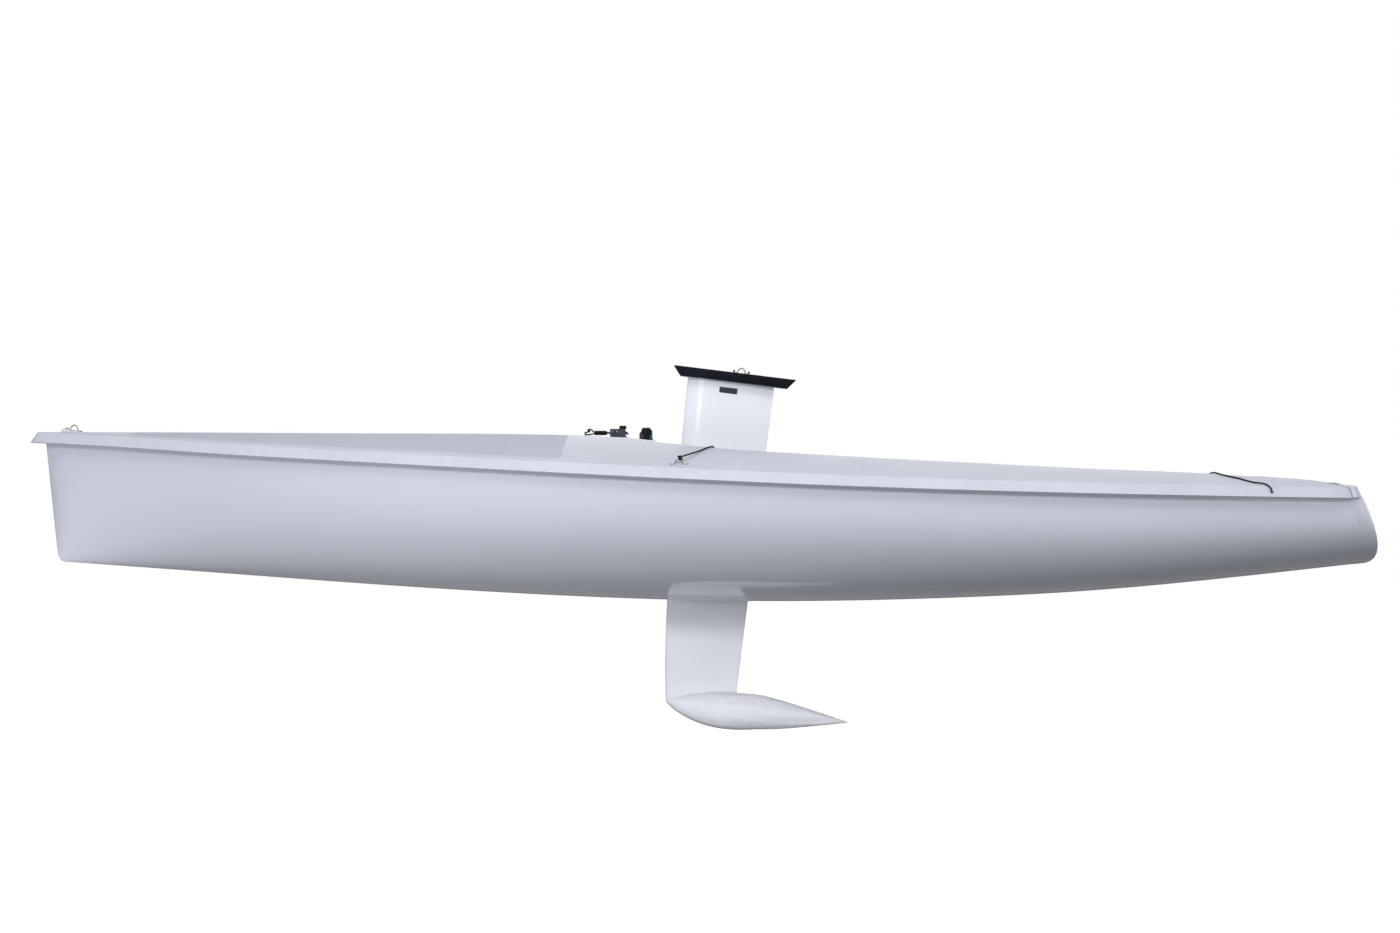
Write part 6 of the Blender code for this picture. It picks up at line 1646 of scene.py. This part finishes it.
def foreKnot(knot, eye, side):
    # the knot at the eye with a ring of cord through it and a loose end
    settle(knot, Matrix.Translation(eye + Vector((0.004, 0, 0.001))) @ Matrix.Rotation(1.1, 4, "Y"))
    ring = [Vector((0.010 * math.cos(a) + 0.001, 0.0045 * math.sin(a), 0.0085 * math.sin(a) - 0.004))
            for a in np.linspace(-0.6, 2 * math.pi - 0.9, 26)]
    tail = [(0.006, 0, 0.001), (0.010, -side * 0.004, -0.004), (0.013, -side * 0.010, -0.010)]
    ring = sweepTube("ring", ring, tie["radius"] * 0.8, 12)
    settle(ring, moved(Matrix.Translation(eye), 0, 0, 0, math.pi / 2))
    tail = sweepTube("tail", smoothRoute(tail, 0.001), tie["radius"] * 0.85, 12)
    return [knot, ring, settle(tail, Matrix.Translation(eye))]


def tieHitch(x, side):
    # a turn of cord round the strap
    half, thick = strap["width"] / 2 + 0.004, strap["thick"]
    low = cockpit["floor"] + strap["rise"]
    turn = [(half, low + thick / 2), (half - 0.003, low + thick + 0.0042), (0, low + thick + 0.0040),
            (-half + 0.003, low + thick + 0.0042), (-half, low + thick / 2), (-half + 0.003, low - 0.0042),
            (0, low - 0.0040), (half - 0.003, low - 0.0042), (half, low + thick / 2 - 0.0005)]
    hitch = [(x, side * strap["out"] + y, z) for y, z in turn]
    return sweepTube("hitch", smoothRoute(hitch, 0.002), tie["radius"] * 0.85, 12, shipShift)


def addCollar(hole, side, label):
    collar = addTurned(tie["collar"], 36)
    cutAway(collar, addRod(tie["collarBore"], 0.01, (0, 0, 0), 32))
    slope = math.atan2(band["out"], band["drop"])
    lean = turnTo((0, side * math.cos(slope), math.sin(slope)))
    spot = Matrix.Translation(shipPoint(hole[0], side * (hole[1] + 0.0002), hole[2] + 0.0002))
    finishPiece(settle(collar, spot @ lean), "cordCollar." + label, "hull", "steel")


def makeTies():
    start = (chainEye["x"] + 0.002, chainOut, chainEye["z"] + 0.028 + tie["radius"] + seatGap)
    share = tie["holeShare"]
    hole = (tie["hole"], lipHalf(tie["hole"]) - band["out"] + band["out"] * share,
            sheerHeight(tie["hole"]) - band["drop"] * share)
    fore, aft = foreTie(start), aftTie(hole)
    kinds = (("fore", fore, tie["foreLanding"] - tie["hitchPast"]), ("aft", aft, tie["aftLanding"] + tie["hitchPast"]))
    for side, label in bothSides:
        for kind, route, hitchX in kinds:
            path = smoothRoute([(x, side * y, z) for x, y, z in route], 0.004)
            cord = sweepTube("cord", path, tie["radius"], 12, shipShift)
            knot = sweepTube("knot", knotPath(tie["knot"]), tie["radius"] * 0.8, 12)
            if kind == "fore":
                around = foreKnot(knot, shipPoint(start[0], side * start[1], start[2]), side)
            else:
                inside = shipPoint(hole[0], side * (hole[1] - tie["holeIn"]), hole[2])
                around = [settle(knot, Matrix.Translation(inside) @ Matrix.Rotation(math.pi / 2, 4, "X"))]
            joinPieces(cord, *around, tieHitch(hitchX, side))
            finishPiece(cord, "%sTieCord.%s" % (kind, label), "hull", "cord", ["%s_tie_cord_%s" % (kind, label)])
            if kind == "aft":
                addCollar(hole, side, label)


for strapSide, strapLabel in bothSides:
    makeStrap(strapSide, strapLabel)
makeStrapEnds()
makeTies()
print("stage: straps and tie cords made")

# Rudder gudgeons on the transom

gudgeon = {"axis": 5.785, "heights": (("upper", 0.425), ("lower", 0.225)), "hole": 0.0065, "eye": 0.0149,
           "thick": 0.016, "plate": 0.007, "width": 0.090, "tall": 0.050, "corner": 0.008, "bolts": 0.030,
           "bolt": (0.004, 0.028, 0.013, 0.0062), "bush": ((0.0018, 0.0), (0.0018, 0.0008), (0.0010, 0.0012))}


def makeGudgeons():
    master = makeHexBolt(*gudgeon["bolt"])
    axis, hole, r, half = gudgeon["axis"], gudgeon["hole"], gudgeon["eye"], gudgeon["thick"] / 2 + 0.001
    for label, height in gudgeon["heights"]:
        face = deckLength + math.tan(hull["transomRake"]) * (hull["transomTop"] - height)
        seat = shipPlace(face, 0, height, math.pi / 2 - hull["transomRake"])
        bracket = addPlate(gudgeon["tall"], gudgeon["width"], 0.0005, gudgeon["plate"], gudgeon["corner"], 0.0012)
        settle(bracket, seat)
        start = face + 0.004
        arm = addBlock((axis - start, r * 1.6, gudgeon["thick"]), ((axis - start) / 2, 0, 0))
        roundEdges(arm, 0.0015, 3, lambda c: abs(c[0].x - c[1].x) > 0.01)
        joinTo(bracket, settle(arm, shipPlace(start, 0, height)))
        barrel = addTurned([(r - 0.0012, -half), (r, -half + 0.0012), (r, half - 0.0012), (r - 0.0012, half)], 56)
        joinTo(bracket, settle(barrel, shipPlace(axis, 0, height)))
        cutAway(bracket, addRod(hole, 0.06, shipPoint(axis, 0, height), 48))
        finishPiece(bracket, label + "Gudgeon", "hull", "steel", [label + "_gudgeon"])
        bush = addTurned([(hole + wall, up) for wall, up in gudgeon["bush"]], 48)
        cutAway(bush, addRod(hole, 0.01, (0, 0, 0), 48))
        finishPiece(settle(bush, shipPlace(axis, 0, height + half)), label + "Bush", "hull", "nylon")
        for side, end in bothSides:
            spot = moved(seat, 0, side * gudgeon["bolts"], gudgeon["plate"], 0.5 * side)
            node = "%s_gudgeon_bolt_%s" % (label, end)
            finishPiece(copyPiece(master, spot), "%sGudgeonBolt.%s" % (label, end), "hull", "steel", [node])
    bpy.data.objects.remove(master)


makeGudgeons()
print("stage: gudgeons made")

# Floor, sky and lamps

studio = {"floorSize": 60.0, "floorDrop": -2.42, "floorTone": (0.13, 0.135, 0.145), "floorSeen": (0.5, 0.5, 0.5),
          "floorGlow": 0.86, "floorShine": 0.12, "skyLevel": 0.42, "skyTint": (0.90, 0.945, 1.0)}
# place, aim, size and watts of each lamp, the degrees that it spreads, and whether it shows in the boat's gloss
lamps = {
    "sideKey": ((-1.0, -8.7, 2.5), (0.2, 0, -0.35), (9.0, 1.2), 350.0, 180.0, False),
    "bowFill": ((-6.5, -8.0, -1.5), (-0.5, 0, -0.5), (4.0, 1.4), 185.0, 180.0, False),
    "bowLift": ((-1.7, -1.7, -2.3), (-1.6, -0.8, 0), (2.4, 1.0), 20.0, 180.0, False),
    "sternFill": ((8.0, -7.5, -0.2), (0.2, 0, -0.4), (5.0, 3.5), 140.0, 180.0, False),
    "keelFill": ((0.47, -9.5, 0.15), (0.47, 0, -1.22), (0.8, 0.2), 0.5, 8.0, False),
    "finGlint": ((-1.5, -9.3, 0.5), (0.3, 0, 0.1), (0.9, 0.5), 6.5, 180.0, True),
    "topSoft": ((0.4, -5.4, 4.9), (0.4, 0, 0), (8.0, 2.4), 205.0, 180.0, False),
    "farSide": ((0.5, 8.5, 3.0), (0.2, 0, -0.2), (8.0, 3.0), 300.0, 180.0, True),
}


def seenMask(tree, shine=1.0):
    # 1 for what the camera or a clear piece sees, the shine for mirrors, and 0 for light that falls on the boat
    path = addNode(tree, "LightPath").outputs
    mirror = mathNode(tree, "MULTIPLY", path["Is Glossy Ray"], shine)
    first = mathNode(tree, "MAXIMUM", path["Is Camera Ray"], mirror)
    return mathNode(tree, "MAXIMUM", first, path["Is Transmission Ray"])


def addFloor():
    bpy.ops.object.select_all(action="DESELECT")
    bpy.ops.mesh.primitive_plane_add(size=studio["floorSize"], location=(0, 0, studio["floorDrop"]))
    floor = bpy.context.active_object
    floor.name = "studioFloor"
    look, tree, shader, _ = startLook("paleFloor", 0.9, 0.0, 0.0)
    seen = seenMask(tree, studio["floorShine"])
    feed(tree, shader["Base Color"], mixColour(tree, seen, studio["floorTone"], studio["floorSeen"]))
    shader["Emission Color"].default_value = (1, 1, 1, 1)
    feed(tree, shader["Emission Strength"], mathNode(tree, "MULTIPLY", seen, studio["floorGlow"]))
    floor.data.materials.append(look)


def addSky():
    world = bpy.data.worlds.new("studioSky")
    bpy.context.scene.world = world
    world.use_nodes = True
    tree = world.node_tree
    sky, seen = tree.nodes["Background"].inputs, seenMask(tree)
    feed(tree, sky["Color"], mixColour(tree, seen, studio["skyTint"], (1.0, 1.0, 1.0)))
    feed(tree, sky["Strength"], rangeNode(tree, seen, 0.0, 1.0, studio["skyLevel"], 1.0))


def addLamps():
    for name, (place, aim, size, power, spread, mirrored) in lamps.items():
        light = bpy.data.lights.new(name, "AREA")
        light.shape = "RECTANGLE"
        light.size, light.size_y = size
        light.energy = power
        light.spread = math.radians(spread)
        stand = linkObject(name, light)
        stand.location = place
        stand.visible_glossy = mirrored
        stand.visible_camera = False
        stand.rotation_euler = (Vector(aim) - Vector(place)).to_track_quat("-Z", "Y").to_euler()


addFloor()
addSky()
addLamps()
print("stage: floor, sky and lamps set")

bpy.data.objects.remove(masterScrew)
